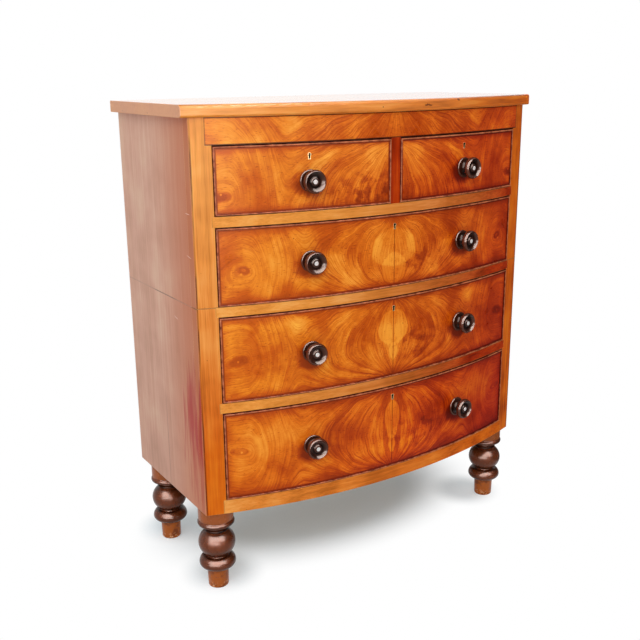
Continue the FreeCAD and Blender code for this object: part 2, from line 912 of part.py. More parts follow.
def make_drawer(name, left, right, floor, height, box_floor, knob_places, lock_x, knob_drop):
    """One drawer in the opening from left to right, its box running on box_floor."""
    x0, x1 = left + drawer_gap, right - drawer_gap
    z0, z1 = floor + drawer_gap, floor + height - drawer_top_gap
    back_y = back_inner - drawer_back_clearance
    side_top = z1 - drawer_side_drop
    bottom_z = box_floor + drawer_bottom_lift
    bottom_top = bottom_z + drawer_bottom_thickness

    # Front: a bent board, rebated round its edge for the cock beads
    beads = make_beads(x0, x1, z0, z1)
    front = bow_panel(x0, x1, front_face, front_back, z0, z1)
    rebate = bow_panel(x0, x1, bead_front, bead_back, z0, z1)
    t = bead_thickness
    rebate = rebate.cut(box(x0 + t, x1 - t, -cutter_reach, cutter_reach, z0 + t, z1 - t))
    front = front.cut(rebate)

    # Box: sides dovetailed to the front and the back, bottom held in grooves
    back = box(
        x0, x1, back_y - drawer_back_thickness, back_y, bottom_top, side_top - drawer_back_drop
    )
    groove = drawer_bottom_groove
    bottom = bow_board(
        x0 + drawer_side_thickness - groove,
        x1 - drawer_side_thickness + groove,
        front_back + groove,
        back_y,
        bottom_z,
        bottom_top,
    )
    inside_front = Part.makeCylinder(
        bow_radius + front_back, z1 - box_floor, vec(0, bow_centre_y, box_floor)
    )
    sides = []
    for xa in (x0, x1 - drawer_side_thickness):
        xb = xa + drawer_side_thickness
        tip = max(bow_y(xa, bead_back), bow_y(xb, bead_back)) + tail_lap
        root = max(bow_y(xa, front_back), bow_y(xb, front_back))
        tail_floor = max(z0, box_floor) + bead_thickness
        front_tails = dovetails(xa, xb, tip, root, tail_floor, side_top)
        back_tails = dovetails(
            xa,
            xb,
            back_y,
            back_y - drawer_back_thickness,
            bottom_top,
            side_top - drawer_back_drop,
        )
        front = front.cut(front_tails)
        back = back.cut(back_tails)
        side = box(xa, xb, tip, back_y, box_floor, side_top).common(inside_front)
        side = side.fuse(front_tails).removeSplitter()
        sides.append(side.cut([back, bottom]))
    front = front.cut(bottom)

    # Lock and knobs, let into the front
    case, bolt, lining, recess = make_lock(z1)
    front = front.cut(turned_to(recess, lock_x))
    knob_z = (z0 + z1) / 2 - knob_drop
    body, inlay = make_knob()
    hole = Part.makeCylinder(
        knob_spigot_radius + knob_spigot_clearance,
        knob_spigot_length + cutter_reach,
        vec(0, bow_y(0, front_face) - cutter_reach, knob_z),
        vec(0, 1, 0),
    )
    knobs, inlays = [], []
    for x in knob_places:
        front = front.cut(turned_to(hole, x))
        knobs.append(turned_to(body.translated(vec(0, 0, knob_z)), x))
        inlays.append(turned_to(inlay.translated(vec(0, 0, knob_z)), x))

    nodes[name + "_front"] = [front]
    nodes[name + "_cockbeads"] = beads
    nodes[name + "_box"] = sides + [back, bottom]
    nodes[name + "_knobs"] = knobs
    nodes[name + "_knob_inlays"] = inlays
    nodes[name + "_lock"] = [turned_to(case, lock_x), turned_to(lining, lock_x)]
    nodes[name + "_lock_bolt"] = [turned_to(bolt, lock_x)]


def make_drawers():
    both = [-knob_column, knob_column]
    edge = opening_edge
    height = short_opening_height
    make_drawer(
        "top_left_drawer", -edge, -divider_edge, short_floor, height, short_floor,
        [-knob_column], -knob_column, short_knob_drop,
    )
    make_drawer(
        "top_right_drawer", divider_edge, edge, short_floor, height, short_floor,
        [knob_column], knob_column, short_knob_drop,
    )
    make_drawer(
        "upper_long_drawer", -edge, edge, section_seam, upper_opening_height,
        section_seam + floor_board_thickness, both, 0, 0,
    )
    make_drawer(
        "middle_long_drawer", -edge, edge, middle_floor, middle_opening_height,
        middle_floor, both, 0, 0,
    )
    make_drawer(
        "bottom_long_drawer", -edge, edge, bottom_floor, bottom_opening_height,
        bottom_floor, both, 0, 0,
    )


def write_nodes():
    """Move the origin to the floor under the middle of the whole piece and write each node."""
    whole = Part.makeCompound([solid for solids in nodes.values() for solid in solids])
    bounds = whole.optimalBoundingBox(False, False)
    shift = vec(0, -(bounds.YMin + bounds.YMax) / 2, 0)
    os.makedirs("parts", exist_ok=True)
    for name, solids in nodes.items():
        shape = Part.makeCompound(solids) if len(solids) > 1 else solids[0]
        shape.translated(shift).exportStep(f"parts/{name}.step")


nodes["top_board"] = [make_top()]
make_rails()
make_stiles()
make_boards()
make_sides()
make_backs()
make_runners()
make_stops()
make_feet()
make_drawers()
write_nodes()
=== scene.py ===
"""The looks of a bow front chest of drawers: figured veneer, turned knobs and feet, and the stage.

Lengths are in metres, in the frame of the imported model: +Z is up and -Y is the front.
"""

import json
import math
from typing import NamedTuple

import bmesh
import bpy
import numpy as np
from mathutils import Matrix, Vector

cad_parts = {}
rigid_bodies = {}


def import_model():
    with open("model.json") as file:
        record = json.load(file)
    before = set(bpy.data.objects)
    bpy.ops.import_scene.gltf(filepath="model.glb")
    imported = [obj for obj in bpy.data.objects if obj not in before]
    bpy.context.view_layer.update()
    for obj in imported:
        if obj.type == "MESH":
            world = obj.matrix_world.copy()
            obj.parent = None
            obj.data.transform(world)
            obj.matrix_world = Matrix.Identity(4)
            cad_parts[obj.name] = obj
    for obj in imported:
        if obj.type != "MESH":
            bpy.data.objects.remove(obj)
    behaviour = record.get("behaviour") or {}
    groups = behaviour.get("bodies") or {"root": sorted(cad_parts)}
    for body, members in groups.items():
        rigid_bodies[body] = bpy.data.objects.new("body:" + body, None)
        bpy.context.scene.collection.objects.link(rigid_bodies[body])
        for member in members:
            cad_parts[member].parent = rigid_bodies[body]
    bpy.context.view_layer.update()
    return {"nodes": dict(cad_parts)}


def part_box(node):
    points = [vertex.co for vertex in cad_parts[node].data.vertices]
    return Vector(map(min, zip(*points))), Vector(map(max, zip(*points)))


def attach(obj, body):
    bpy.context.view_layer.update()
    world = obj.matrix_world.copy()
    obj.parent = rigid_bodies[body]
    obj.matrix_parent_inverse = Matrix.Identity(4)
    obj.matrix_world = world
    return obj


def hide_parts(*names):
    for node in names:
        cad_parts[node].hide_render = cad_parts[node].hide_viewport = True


for leftover in list(bpy.data.objects):
    bpy.data.objects.remove(leftover)
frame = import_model()

bl_info = {
    "name": "Bow front chest of drawers",
    "version": (1, 0, 0),
    "blender": (4, 5, 0),
    "location": "View3D > Sidebar > Chest",
    "description": "Dresses the bow front chest of drawers in polished mahogany and lights it",
    "category": "Object",
}

MM = 0.001
DRAWERS = (
    "top_left_drawer",
    "top_right_drawer",
    "upper_long_drawer",
    "middle_long_drawer",
    "bottom_long_drawer",
)
ACROSS, DEEP, UPRIGHT = range(3)  # axes that a grain can follow
GRAIN_TONES = ("dark", "mid", "light")
BOSS_DEPTH = 3.5  # of a knob, from its rim, in millimetres
INLAY_THICKNESS = 2.2  # in millimetres
FOOT_DRUM = 35.0  # height of the drum at the top of a foot, in millimetres
WORN_ANKLE = 54.0  # height up to which the feet are worn bare, in millimetres

# Direction in which the wood's colour deepens, with where that starts and where it ends
FADING = ((1.0, 0.0, -0.6), -1.0, -0.15)
# This one is painted shade: it darkens the lower right end of each veneered front
END_SHADE = ((1.0, 0.0, -0.6), -0.05, 0.20)
RAIL_FADING = ((1.0, 0.0, -0.35), -0.60, 0.12)
BASE_FADING = ((1.0, 0.0, -0.35), -0.90, 0.25)
POST_FADING = ((0.75, 0.0, -1.0), -1.40, -0.78)

SMOOTH = {"interpolation_type": "SMOOTHSTEP"}
COLOUR = {"data_type": "RGBA"}


def linear(code):
    """Linear red, green and blue of an sRGB hex code."""
    channels = [int(code[i : i + 2], 16) / 255 for i in (1, 3, 5)]
    return [c / 12.92 if c <= 0.04045 else ((c + 0.055) / 1.055) ** 2.4 for c in channels]


def length(name, description, default):
    """A length property, in metres."""
    return bpy.props.FloatProperty(
        name=name, description=description, default=default, min=0.0, unit="LENGTH", precision=4
    )


def colour(name, description, code):
    """A colour property from an sRGB hex code."""
    return bpy.props.FloatVectorProperty(
        name=name, description=description, default=linear(code), size=3, subtype="COLOR"
    )


class ChestSizes(bpy.types.PropertyGroup):
    """Sizes of the pieces that are made here; the rest come from the CAD frame."""

    bow_depth: length("Bow depth", "How far the bow stands out in the middle of the front", 90.0 * MM)
    front_recess: length("Front recess", "How far the drawer fronts lie behind the bow line", 1.0 * MM)
    bead_width: length("Bead width", "Width of a cock bead, seen from the front", 4.5 * MM)
    bead_stand: length("Bead stand", "How far a cock bead stands out from the bow line", 2.2 * MM)
    bead_depth: length("Bead depth", "Depth of a cock bead from its nose to its back", 10.0 * MM)
    knob_column: length("Knob column", "Distance of the knobs from the middle of the front", 244.5 * MM)
    knob_projection: length("Knob projection", "How far a knob stands out from its front", 40.0 * MM)
    foot_column: length("Foot column", "Distance of the feet from the middle of the case", 478.0 * MM)


class ChestColours(bpy.types.PropertyGroup):
    """Colours of the woods and the fittings."""

    faded_dark: colour("Faded veneer, dark", "Dark curls where the veneer has faded", "#A23C00")
    faded_red: colour("Faded veneer, red", "Red brown where the veneer has faded", "#CC5A04")
    faded_orange: colour("Faded veneer, orange", "Main colour of the faded veneer", "#EA8616")
    faded_gold: colour("Faded veneer, gold", "Palest curls of the faded veneer", "#FAB040")
    deep_dark: colour("Deep veneer, dark", "Dark curls where the veneer kept its colour", "#6A1200")
    deep_red: colour("Deep veneer, red", "Red brown where the veneer kept its colour", "#A22A00")
    deep_orange: colour("Deep veneer, orange", "Main colour of the deep veneer", "#CC4800")
    deep_gold: colour("Deep veneer, gold", "Palest curls of the deep veneer", "#EE7E08")
    pale_dark: colour("Faded case, dark", "Dark grain of the faded stiles and rails", "#CC7828")
    pale_mid: colour("Faded case, middle", "Main colour of the faded stiles and rails", "#E8943E")
    pale_light: colour("Faded case, light", "Pale grain of the faded stiles and rails", "#F2B262")
    rich_dark: colour("Deep case, dark", "Dark grain of the deeper stiles and rails", "#8E3000")
    rich_mid: colour("Deep case, middle", "Main colour of the deeper stiles and rails", "#CC5A02")
    rich_light: colour("Deep case, light", "Pale grain of the deeper stiles and rails", "#E07810")
    side_dark: colour("Side dark", "Dark grain of the case sides", "#B88468")
    side_mid: colour("Side middle", "Main colour of the case sides", "#CA967E")
    side_light: colour("Side light", "Faded wood of the case sides", "#D4AC92")
    side_red: colour("Side red", "Red stain on the lower left side", "#A01008")
    side_warm: colour("Side warm", "Sides and posts near the front, rubbed less", "#B45A28")
    # The dark tones of knobs and feet stand for stain and painted shade in the hollows, and for painted shade
    # on the sides turned right and down
    knob_dark: colour("Knob dark", "Stain in the hollows of the knobs", "#140705")
    knob_red: colour("Knob red", "Rubbed stain of the knobs", "#562A1A")
    turned_dark: colour("Foot dark", "Stain in the hollows of the feet", "#140402")
    turned_red: colour("Foot red", "Rubbed stain of the feet", "#6C2E0A")
    worn_wood: colour("Worn wood", "Bare wood on the worn ankles and drums of the feet", "#AA571C")
    chipped_wood: colour("Chipped wood", "Fresh wood in chips near the soles", "#E2AC80")
    # The bead's dark tone is also painted shade on its flanks, and its light tone also a painted highlight on
    # its nose
    bead_dark: colour("Bead dark", "Cock bead in its grooves", "#521204")
    bead_light: colour("Bead light", "Rubbed nose of a cock bead", "#D07A50")
    pine_dark: colour("Pine dark", "Late wood and old dirt on the pine", "#8A5A30")
    pine_light: colour("Pine light", "Early wood of the pine", "#CFA46C")
    pearl: colour("Pearl", "Main colour of the pearl inlays", "#CFC6BE")
    brass: colour("Brass", "Old brass of the locks", "#DCC08A")
    steel: colour("Steel", "Lock bolts", "#9A9690")


class StageSettings(bpy.types.PropertyGroup):
    """Camera and light."""

    eye: bpy.props.FloatVectorProperty(
        name="Eye",
        description="Place of the camera",
        default=(-1.37628, -2.02751, 1.32538),
        size=3,
        subtype="TRANSLATION",
        unit="LENGTH",
    )
    turn: bpy.props.FloatProperty(
        name="Turn", description="Turn of the view to the right", default=0.571876, subtype="ANGLE"
    )
    tilt: bpy.props.FloatProperty(
        name="Tilt", description="Tilt of the view downwards", default=0.275492, subtype="ANGLE"
    )
    roll: bpy.props.FloatProperty(
        name="Roll", description="Roll of the camera", default=-0.009849, subtype="ANGLE"
    )
    focal_length: bpy.props.FloatProperty(
        name="Focal length", description="Lens in millimetres", default=49.5626, min=1.0
    )
    sky: bpy.props.FloatProperty(
        name="Sky", description="Strength of the even light from all round", default=0.72, min=0.0
    )
    key: bpy.props.FloatProperty(
        name="Key", description="Power of the soft box at the left", default=85.0, min=0.0, unit="POWER"
    )


def add(tree, kind, *inputs, sockets=None, stops=(), **settings):
    """Adds a shader node and sets it up. Its shown inputs are filled in order, and those in sockets by
    name: a node or an output is linked, a value is set and None is left alone. Stops colour a ramp."""
    node = tree.nodes.new("ShaderNode" + kind)
    for name, value in settings.items():
        setattr(node, name, value)
    for index, (position, values) in enumerate(stops):
        elements = node.color_ramp.elements
        element = elements[index] if index < len(elements) else elements.new(position)
        element.position = position
        element.color = (*values, 1.0)
    shown = [socket for socket in node.inputs if socket.enabled]
    named = [(node.inputs[name], value) for name, value in (sockets or {}).items()]
    for socket, value in [*zip(shown, inputs), *named]:
        if isinstance(value, bpy.types.Node):
            value = next(output for output in value.outputs if output.enabled)
        if isinstance(value, bpy.types.NodeSocket):
            tree.links.new(value, socket)
        elif value is not None:
            socket.default_value = (*value, 1.0) if socket.type == "RGBA" else value
    return node


def new_material(name):
    """A material with no nodes yet but its Object coordinates: returns it, its tree and the coordinates."""
    material = bpy.data.materials.new(name)
    material.use_nodes = True
    tree = material.node_tree
    tree.nodes.clear()
    return material, tree, add(tree, "TexCoord").outputs["Object"]


def surface(tree, **sockets):
    """Ends a material with its shader. Sockets are named in lower case with _ for a space."""
    titles = {"ior": "IOR", "specular": "Specular IOR Level"}
    named = {titles.get(name, name.replace("_", " ").title()): value for name, value in sockets.items()}
    add(tree, "OutputMaterial", add(tree, "BsdfPrincipled", sockets=named))


def spots(millimetres):
    """Noise scale whose patches are about that many millimetres long."""
    return 1.0 / (millimetres * MM)


def oval(tree, place, centre, radii):
    """Distance from a centre counted in radii along each axis: 1 on the oval, less inside it."""
    inside = add(tree, "Mapping", place, centre, None, radii, vector_type="TEXTURE")
    return add(tree, "VectorMath", inside, operation="LENGTH")


def edge_wear(tree):
    """How near a point is to a sharp edge, and the normal of that edge rubbed round: the normal averaged
    over a small ball turns away from the flat one there."""
    rubbed = add(tree, "Bevel", 1.6 * MM, samples=6)
    flat = add(tree, "NewGeometry").outputs["Normal"]
    likeness = add(tree, "VectorMath", rubbed, flat, operation="DOT_PRODUCT")
    return add(tree, "MapRange", likeness.outputs["Value"], 0.995, 0.86, 0.0, 1.0), rubbed


def dents(tree, place, spacing, size):
    """Small pits, 1 inside and 0 outside: some of the cells of a random mesh have a pit at their point."""
    cells = add(tree, "TexVoronoi", place, spots(spacing))
    chance = add(tree, "SeparateColor", cells.outputs["Color"]).outputs["Red"]
    chosen = add(tree, "Math", chance, 0.55, operation="GREATER_THAN")
    pit = add(tree, "MapRange", cells.outputs["Distance"], size / spacing, 0.5 * size / spacing, 0.0, 1.0)
    return add(tree, "Math", pit, chosen, operation="MULTIPLY")


def depth_of_colour(tree, place, fading, more=0.0):
    """How deep the wood has kept its colour: daylight faded it most at the upper left, and the lower right
    is deepest. Fading is the direction in which it deepens, with where that starts and where it ends, and
    more is how much sooner it does so."""
    direction, start, end = fading
    slope = add(tree, "VectorMath", place, direction, operation="DOT_PRODUCT")
    return add(tree, "MapRange", slope, start - more, end - more, 0.0, 1.0)


class VeneerSheet(NamedTuple):
    """How one sheet of figured veneer is cut and marked, in metres. Seed sets its noise apart, middle is
    the height of the middle of its curls, pole is how far both poles lie from there, stretch makes its
    curls wider, and depth is how much sooner its colour deepens. A knot is its distance from the join and
    its height, a smudge its x, height and shade, and a lens its lift over the middle, half width and half
    height, these three in millimetres, with its brightness."""

    node: str
    seed: float
    middle: float
    pole: float
    knot: tuple
    depth: float
    stretch: float = 1.5
    knot_shade: float = 0.10
    lenses: tuple = ()
    smudge: tuple = (0.0, 0.0, 0.0)
    join_shade: float = 0.0
    # Strength of the old polish along the edges and of the painted shade beside the beads and below the knobs
    grime: float = 0.16


def tones(kind, *shades):
    """Colours of one kind of wood."""
    colours = bpy.context.scene.chest_colours
    return [getattr(colours, f"{kind}_{shade}") for shade in shades]


def insets(tree, place, node):
    """How far inside a node's box a place lies along each axis, and half the size of that box."""
    low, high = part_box(node)
    half = (high - low) / 2
    off = add(tree, "VectorMath", place, low + half, operation="SUBTRACT")
    off = add(tree, "VectorMath", off, operation="ABSOLUTE")
    inset = add(tree, "VectorMath", half, off, operation="SUBTRACT")
    return add(tree, "SeparateXYZ", inset).outputs, half


def veneer_curls(tree, sheet, side, flat):
    """The place moved a little by noise, and a number that tells its curl.

    A curl is an arc through two poles, one above and one below the middle of the join: from all along it
    the two poles are seen under the same angle. Towards the ends the curls pass over into ovals about a
    knot.
    """
    # Long slow waves bend the curls, and short ones make them tremble
    slow = add(tree, "TexNoise", flat, spots(160), 2.0, 0.5, normalize=False)
    quick = add(tree, "TexNoise", flat, spots(30), 2.0, 0.5, normalize=False)
    bent = add(tree, "VectorMath", slow.outputs["Color"], [16 * MM] * 3, flat, operation="MULTIPLY_ADD")
    bent = add(tree, "VectorMath", quick.outputs["Color"], [2.5 * MM] * 3, bent, operation="MULTIPLY_ADD")
    parts = add(tree, "SeparateXYZ", bent)

    # Angle under which the two poles are seen, with the width squeezed by the stretch of the curls
    squeezed = add(tree, "Math", parts.outputs["X"], 1 / sheet.stretch, operation="MULTIPLY")
    squeezed = add(tree, "Math", squeezed, operation="ABSOLUTE")
    lifted = add(tree, "Math", parts.outputs["Z"], sheet.middle, operation="SUBTRACT")
    squares = add(tree, "Math", squeezed, squeezed, -sheet.pole**2, operation="MULTIPLY_ADD")
    squares = add(tree, "Math", lifted, lifted, squares, operation="MULTIPLY_ADD")
    chord = add(tree, "Math", squeezed, 2 * sheet.pole, operation="MULTIPLY")
    angle = add(tree, "Math", chord, squares, operation="ARCTAN2")
    curl = add(tree, "Math", angle, -160 * MM, 0.5, operation="MULTIPLY_ADD")

    knot_x, knot_z = sheet.knot
    ring = oval(tree, bent, (knot_x, sheet.seed, knot_z), (1.8, 1.0, 1.0))
    near_end = add(tree, "MapRange", side, knot_x - 0.17, knot_x - 0.02, 0.0, 1.0, **SMOOTH)
    return bent, add(tree, "Mix", near_end, curl, ring)


def veneer_figure(tree, side, place, bent, curl):
    """Tone of the figure, which is one half on average, with its streaks and patches. Streaks change fast
    from curl to curl and slowly along each, and are strong about the join and faint in the plain wood."""
    along = add(tree, "VectorMath", bent, [0.05] * 3, operation="MULTIPLY")
    along = add(tree, "SeparateXYZ", along)
    streak_place = add(tree, "CombineXYZ", curl, along.outputs["X"], along.outputs["Z"])
    ribbons = add(tree, "TexNoise", streak_place, spots(26), 3.0, 0.55)
    streaks = add(tree, "TexNoise", streak_place, spots(6), 3.0, 0.6)
    patches = add(tree, "TexNoise", bent, spots(120), 4.0, 0.6)
    strength = add(tree, "MapRange", side, 0.16, 0.36, 1.0, 0.6, **SMOOTH)
    shimmer = add(tree, "MapRange", patches, 0.38, 0.62, 0.45, 1.0)
    strength = add(tree, "Math", strength, shimmer, operation="MULTIPLY")
    figure = add(tree, "Math", ribbons, 0.28, operation="MULTIPLY")
    figure = add(tree, "Math", streaks, 0.36, figure, operation="MULTIPLY_ADD")
    figure = add(tree, "Mix", strength, 0.32, figure)
    tone = add(tree, "Math", patches, 0.36, figure, operation="MULTIPLY_ADD")

    # Thin lines and hairs along the curls, and pores along the sheet, drawn a few times as coarse as they are
    lines = add(tree, "MapRange", streaks, 0.56, 0.66, 0.0, 0.10)
    hairs = add(tree, "TexNoise", streak_place, spots(2.6), 2.0, 0.5, normalize=False)
    lines = add(tree, "Math", hairs, -0.045, lines, operation="MULTIPLY_ADD")
    lines = add(tree, "Math", lines, strength, operation="MULTIPLY")
    pore_place = add(tree, "VectorMath", place, (spots(9), 1.0, spots(2)), operation="MULTIPLY")
    pores = add(tree, "TexNoise", pore_place, 1.0, 2.0, 0.5)
    pores = add(tree, "MapRange", pores, 0.60, 0.74, 0.0, 0.08)
    for shade in (lines, pores):
        tone = add(tree, "Math", tone, shade, operation="SUBTRACT")
    return tone, streaks, patches


def veneer_marks(tree, sheet, place, flat, bent, streaks, knob_column):
    """Shades of what lies on the figure, below nought where it is paler: a pale lens over the join with a
    smaller drop below it, mottled smudges beside the join, painted shadow below the knobs, and the dark
    halo and pale heart of the knots."""
    shades = []
    for lift, half_width, half_height, share in sheet.lenses:
        centre = (0, sheet.seed, sheet.middle + lift * MM)
        lens = oval(tree, bent, centre, (half_width * MM, 1.0, half_height * MM))
        feathered = add(tree, "Math", streaks, 0.5, lens, operation="MULTIPLY_ADD")
        shades.append(add(tree, "MapRange", feathered, 1.15, 1.25, -share, 0.0, **SMOOTH))

    smudge_x, smudge_z, smudge_shade = sheet.smudge
    mottle = add(tree, "TexNoise", place, spots(30), 4.0, 0.6)
    mottle = add(tree, "MapRange", mottle, 0.48, 0.60, 0.0, smudge_shade)
    blot = oval(tree, place, (smudge_x, 0.0, smudge_z), (0.14, 10.0, 0.06))
    blot = add(tree, "MapRange", blot, 0.4, 1.0, 1.0, 0.0, **SMOOTH)
    shades.append(add(tree, "Math", blot, mottle, operation="MULTIPLY"))

    # Painted shadow of each knob: a dark patch just below it, broken up by the mottle
    low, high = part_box(sheet.node)
    under_knob = (knob_column, sheet.seed, (low.z + high.z) / 2 - 16 * MM)
    grime = oval(tree, flat, under_knob, (46 * MM, 1.0, 34 * MM))
    grime = add(tree, "Math", mottle, 2.0, grime, operation="MULTIPLY_ADD")
    shades.append(add(tree, "MapRange", grime, 0.5, 1.2, sheet.grime, 0.0, **SMOOTH))

    knot_x, knot_z = sheet.knot
    knot = (knot_x, sheet.seed, knot_z)
    halo = oval(tree, bent, knot, (32 * MM, 1.0, 17 * MM))
    shades.append(add(tree, "MapRange", halo, 0.2, 1.1, sheet.knot_shade, 0.0, **SMOOTH))
    heart = oval(tree, flat, knot, (3.2 * MM, 1.0, 3.2 * MM))
    shades.append(add(tree, "MapRange", heart, 0.6, 1.1, -1.1 * sheet.knot_shade, 0.0, **SMOOTH))
    return shades


def veneer_rims(tree, sheet, place, side, patches, inset, half):
    """Shades of old polish along the edges, of painted shade in a thin line beside the beads, of the join
    and of dents.
    """
    end_rim = add(tree, "MapRange", inset["X"], 0.06 * half.x, 0.0, 0.0, 0.5 * sheet.grime, **SMOOTH)
    rail_rim = add(tree, "MapRange", inset["Z"], 0.30 * half.z, 0.0, 0.0, sheet.grime, **SMOOTH)
    rim = add(tree, "Math", end_rim, rail_rim, operation="MAXIMUM")
    shades = [add(tree, "Math", rim, patches, operation="MULTIPLY")]
    # Painted shade: a thin dark line on the front just inside each bead
    for axis in "XZ":
        line = add(tree, "MapRange", inset[axis], 8.5 * MM, 6.5 * MM, 0.0, 1.2 * sheet.grime)
        shades.append(line)
    shades.append(add(tree, "MapRange", side, 0.5 * MM, 1.1 * MM, sheet.join_shade, 0.0))
    shades.append(add(tree, "Math", dents(tree, place, 40, 1.6), 0.3, operation="MULTIPLY"))
    return shades


def figured_veneer(sheet, knob_column):
    """Mahogany veneer from the crotch of a tree, laid in mirrored halves and French polished. The eye sees
    nested curls that open about the join, a pale lens on it, plainer wood with a knot near each end, fine
    streaks and an even warm gloss."""
    material, tree, place = new_material(sheet.node + "_crotch_mahogany_polished")
    split = add(tree, "SeparateXYZ", place)
    side = add(tree, "Math", split.outputs["X"], operation="ABSOLUTE")
    flat = add(tree, "CombineXYZ", side, sheet.seed, split.outputs["Z"])
    bent, curl = veneer_curls(tree, sheet, side, flat)
    tone, streaks, patches = veneer_figure(tree, side, place, bent, curl)
    inset, half = insets(tree, place, sheet.node)
    shades = veneer_marks(tree, sheet, place, flat, bent, streaks, knob_column)
    shades += veneer_rims(tree, sheet, place, side, patches, inset, half)
    for shade in shades:
        tone = add(tree, "Math", tone, shade, operation="SUBTRACT")

    levels = (0.37, 0.45, 0.51, 0.61)
    shade_names = ("dark", "red", "orange", "gold")
    faded = add(tree, "ValToRGB", tone, stops=list(zip(levels, tones("faded", *shade_names))))
    deep = add(tree, "ValToRGB", tone, stops=list(zip(levels, tones("deep", *shade_names))))
    wood = add(tree, "Mix", depth_of_colour(tree, place, FADING, sheet.depth), faded, deep, **COLOUR)
    # Painted shade darkening the lower right end of the front
    end_shade = depth_of_colour(tree, place, END_SHADE)
    wood = add(tree, "Mix", end_shade, wood, linear("#DA957C"), blend_type="MULTIPLY", **COLOUR)

    # Painted shadow in the gaps round the frieze, as dark lines along its edges; on a drawer the beads hide
    # it
    for axis, share in (("X", 0.5), ("Z", 0.9)):
        gap_shadow = add(tree, "MapRange", inset[axis], 3.2 * MM, 1.6 * MM, 0.0, share)
        wood = add(tree, "Mix", gap_shadow, wood, linear("#1E0A04"), **COLOUR)

    gloss = add(tree, "MapRange", patches, 0.3, 0.7, 0.26, 0.40)
    ripple = add(tree, "Bump", 0.12, 0.3 * MM, None, streaks)
    surface(tree, base_color=wood, roughness=gloss, normal=ripple, ior=1.5, specular=0.08)
    return material


def straight_mahogany(name, along, faded, deep, fading=FADING, shine=0.1, coat=0.0, extra=None):
    """Solid mahogany, planed and French polished. The eye sees straight ribbons of grain, fine dark pores
    along them, dents, rubbed edges and a soft gloss. Along is the grain's axis. Faded and deep are the dark,
    middle and light tones, a coat is clear polish on level faces, and extra paints what only this wood
    has."""
    material, tree, place = new_material(name)
    broad_scale = [spots(9)] * 3
    broad_scale[along] = spots(420)
    fine_scale = [spots(2.6)] * 3
    fine_scale[along] = spots(70)
    broad_place = add(tree, "VectorMath", place, broad_scale, operation="MULTIPLY")
    fine_place = add(tree, "VectorMath", place, fine_scale, operation="MULTIPLY")
    broad = add(tree, "TexNoise", broad_place, 1.0, 3.0, 0.55, None, 0.4)
    fine = add(tree, "TexNoise", fine_place, 1.0, 3.0, 0.6)
    clouds = add(tree, "TexNoise", place, spots(110), 2.0, 0.5)
    grain = add(tree, "Math", broad, 0.30, operation="MULTIPLY")
    grain = add(tree, "Math", fine, 0.26, grain, operation="MULTIPLY_ADD")
    grain = add(tree, "Math", clouds, 0.44, grain, operation="MULTIPLY_ADD")
    # Pores are drawn some ten times as wide as they are, so that they show
    pores = add(tree, "MapRange", fine, 0.60, 0.75, 0.0, 0.06)
    grain = add(tree, "Math", grain, pores, operation="SUBTRACT")
    levels = (0.36, 0.50, 0.66)
    pale = add(tree, "ValToRGB", grain, stops=list(zip(levels, faded)))
    rich = add(tree, "ValToRGB", grain, stops=list(zip(levels, deep)))
    wood = add(tree, "Mix", depth_of_colour(tree, place, fading), pale, rich, **COLOUR)
    if extra:
        wood = extra(tree, place, wood, clouds)
    worn, rubbed = edge_wear(tree)
    rub = add(tree, "Math", worn, clouds, operation="MULTIPLY")
    wood = add(tree, "Mix", rub, wood, faded[2], **COLOUR)
    dirt = [channel * 0.12 for channel in deep[0]]
    wood = add(tree, "Mix", dents(tree, place, 38, 1.8), wood, dirt, **COLOUR)
    gloss = add(tree, "MapRange", clouds, 0.3, 0.7, 0.28, 0.42)
    ripple = add(tree, "Bump", 0.2, 0.3 * MM, None, fine, rubbed)
    sockets = {"base_color": wood, "roughness": gloss, "normal": ripple, "ior": 1.5, "specular": shine}
    if coat:
        upward = add(tree, "SeparateXYZ", add(tree, "NewGeometry").outputs["Normal"]).outputs["Z"]
        sockets["coat_weight"] = add(tree, "MapRange", upward, 0.5, 0.9, 0.0, coat)
        sockets["coat_roughness"] = 0.08
    surface(tree, **sockets)
    return material


def turned_mahogany(name, dark, red, polish, shine, extra=None):
    """Mahogany turned on a lathe, stained dark and polished. The eye sees near black hollows, where stain and
    painted shade lie, red brown where hands and feet rubbed the high parts, painted light where they face
    the upper left front and painted shade where they face right and down, and soft lights that are duller
    in the hollows. Polish is the roughness of the shiniest parts and shine how strongly they mirror.
    Extra paints what only this piece has."""
    material, tree, place = new_material(name)
    rubbed = add(tree, "Attribute", attribute_name="rubbed").outputs["Fac"]
    clouds = add(tree, "TexNoise", place, spots(30), 4.0, 0.6)
    flecks = add(tree, "TexNoise", place, spots(7), 3.0, 0.6)
    # Tone from random clouds and from wear on the high parts; in the hollows it stays low, for stain and
    # painted shade
    tone = add(tree, "Math", clouds, 0.5, operation="MULTIPLY")
    tone = add(tree, "Math", rubbed, 0.4, tone, operation="MULTIPLY_ADD")
    # Painted light and shade: lighter where the surface faces the upper left front, darker where it faces
    # right and down
    lit_side = add(tree, "NewGeometry").outputs["Normal"]
    lit_side = add(tree, "VectorMath", lit_side, (-0.6, -0.6, 0.5), operation="DOT_PRODUCT")
    tone = add(tree, "Math", lit_side.outputs["Value"], 0.22, tone, operation="MULTIPLY_ADD")
    wood = add(tree, "ValToRGB", tone, stops=[(0.38, dark), (0.88, red)])
    if extra:
        wood = extra(tree, place, wood, clouds, flecks)
    gloss = add(tree, "MapRange", clouds, 0.3, 0.7, polish, polish + 0.10)
    clean = add(tree, "MapRange", rubbed, 0.15, 0.45, 0.3 * shine, shine)
    ripple = add(tree, "Bump", 0.08, 0.3 * MM, None, flecks)
    warm = linear("#FFF0E6")
    surface(
        tree, base_color=wood, roughness=gloss, normal=ripple, ior=1.5, specular=clean, specular_tint=warm
    )
    return material


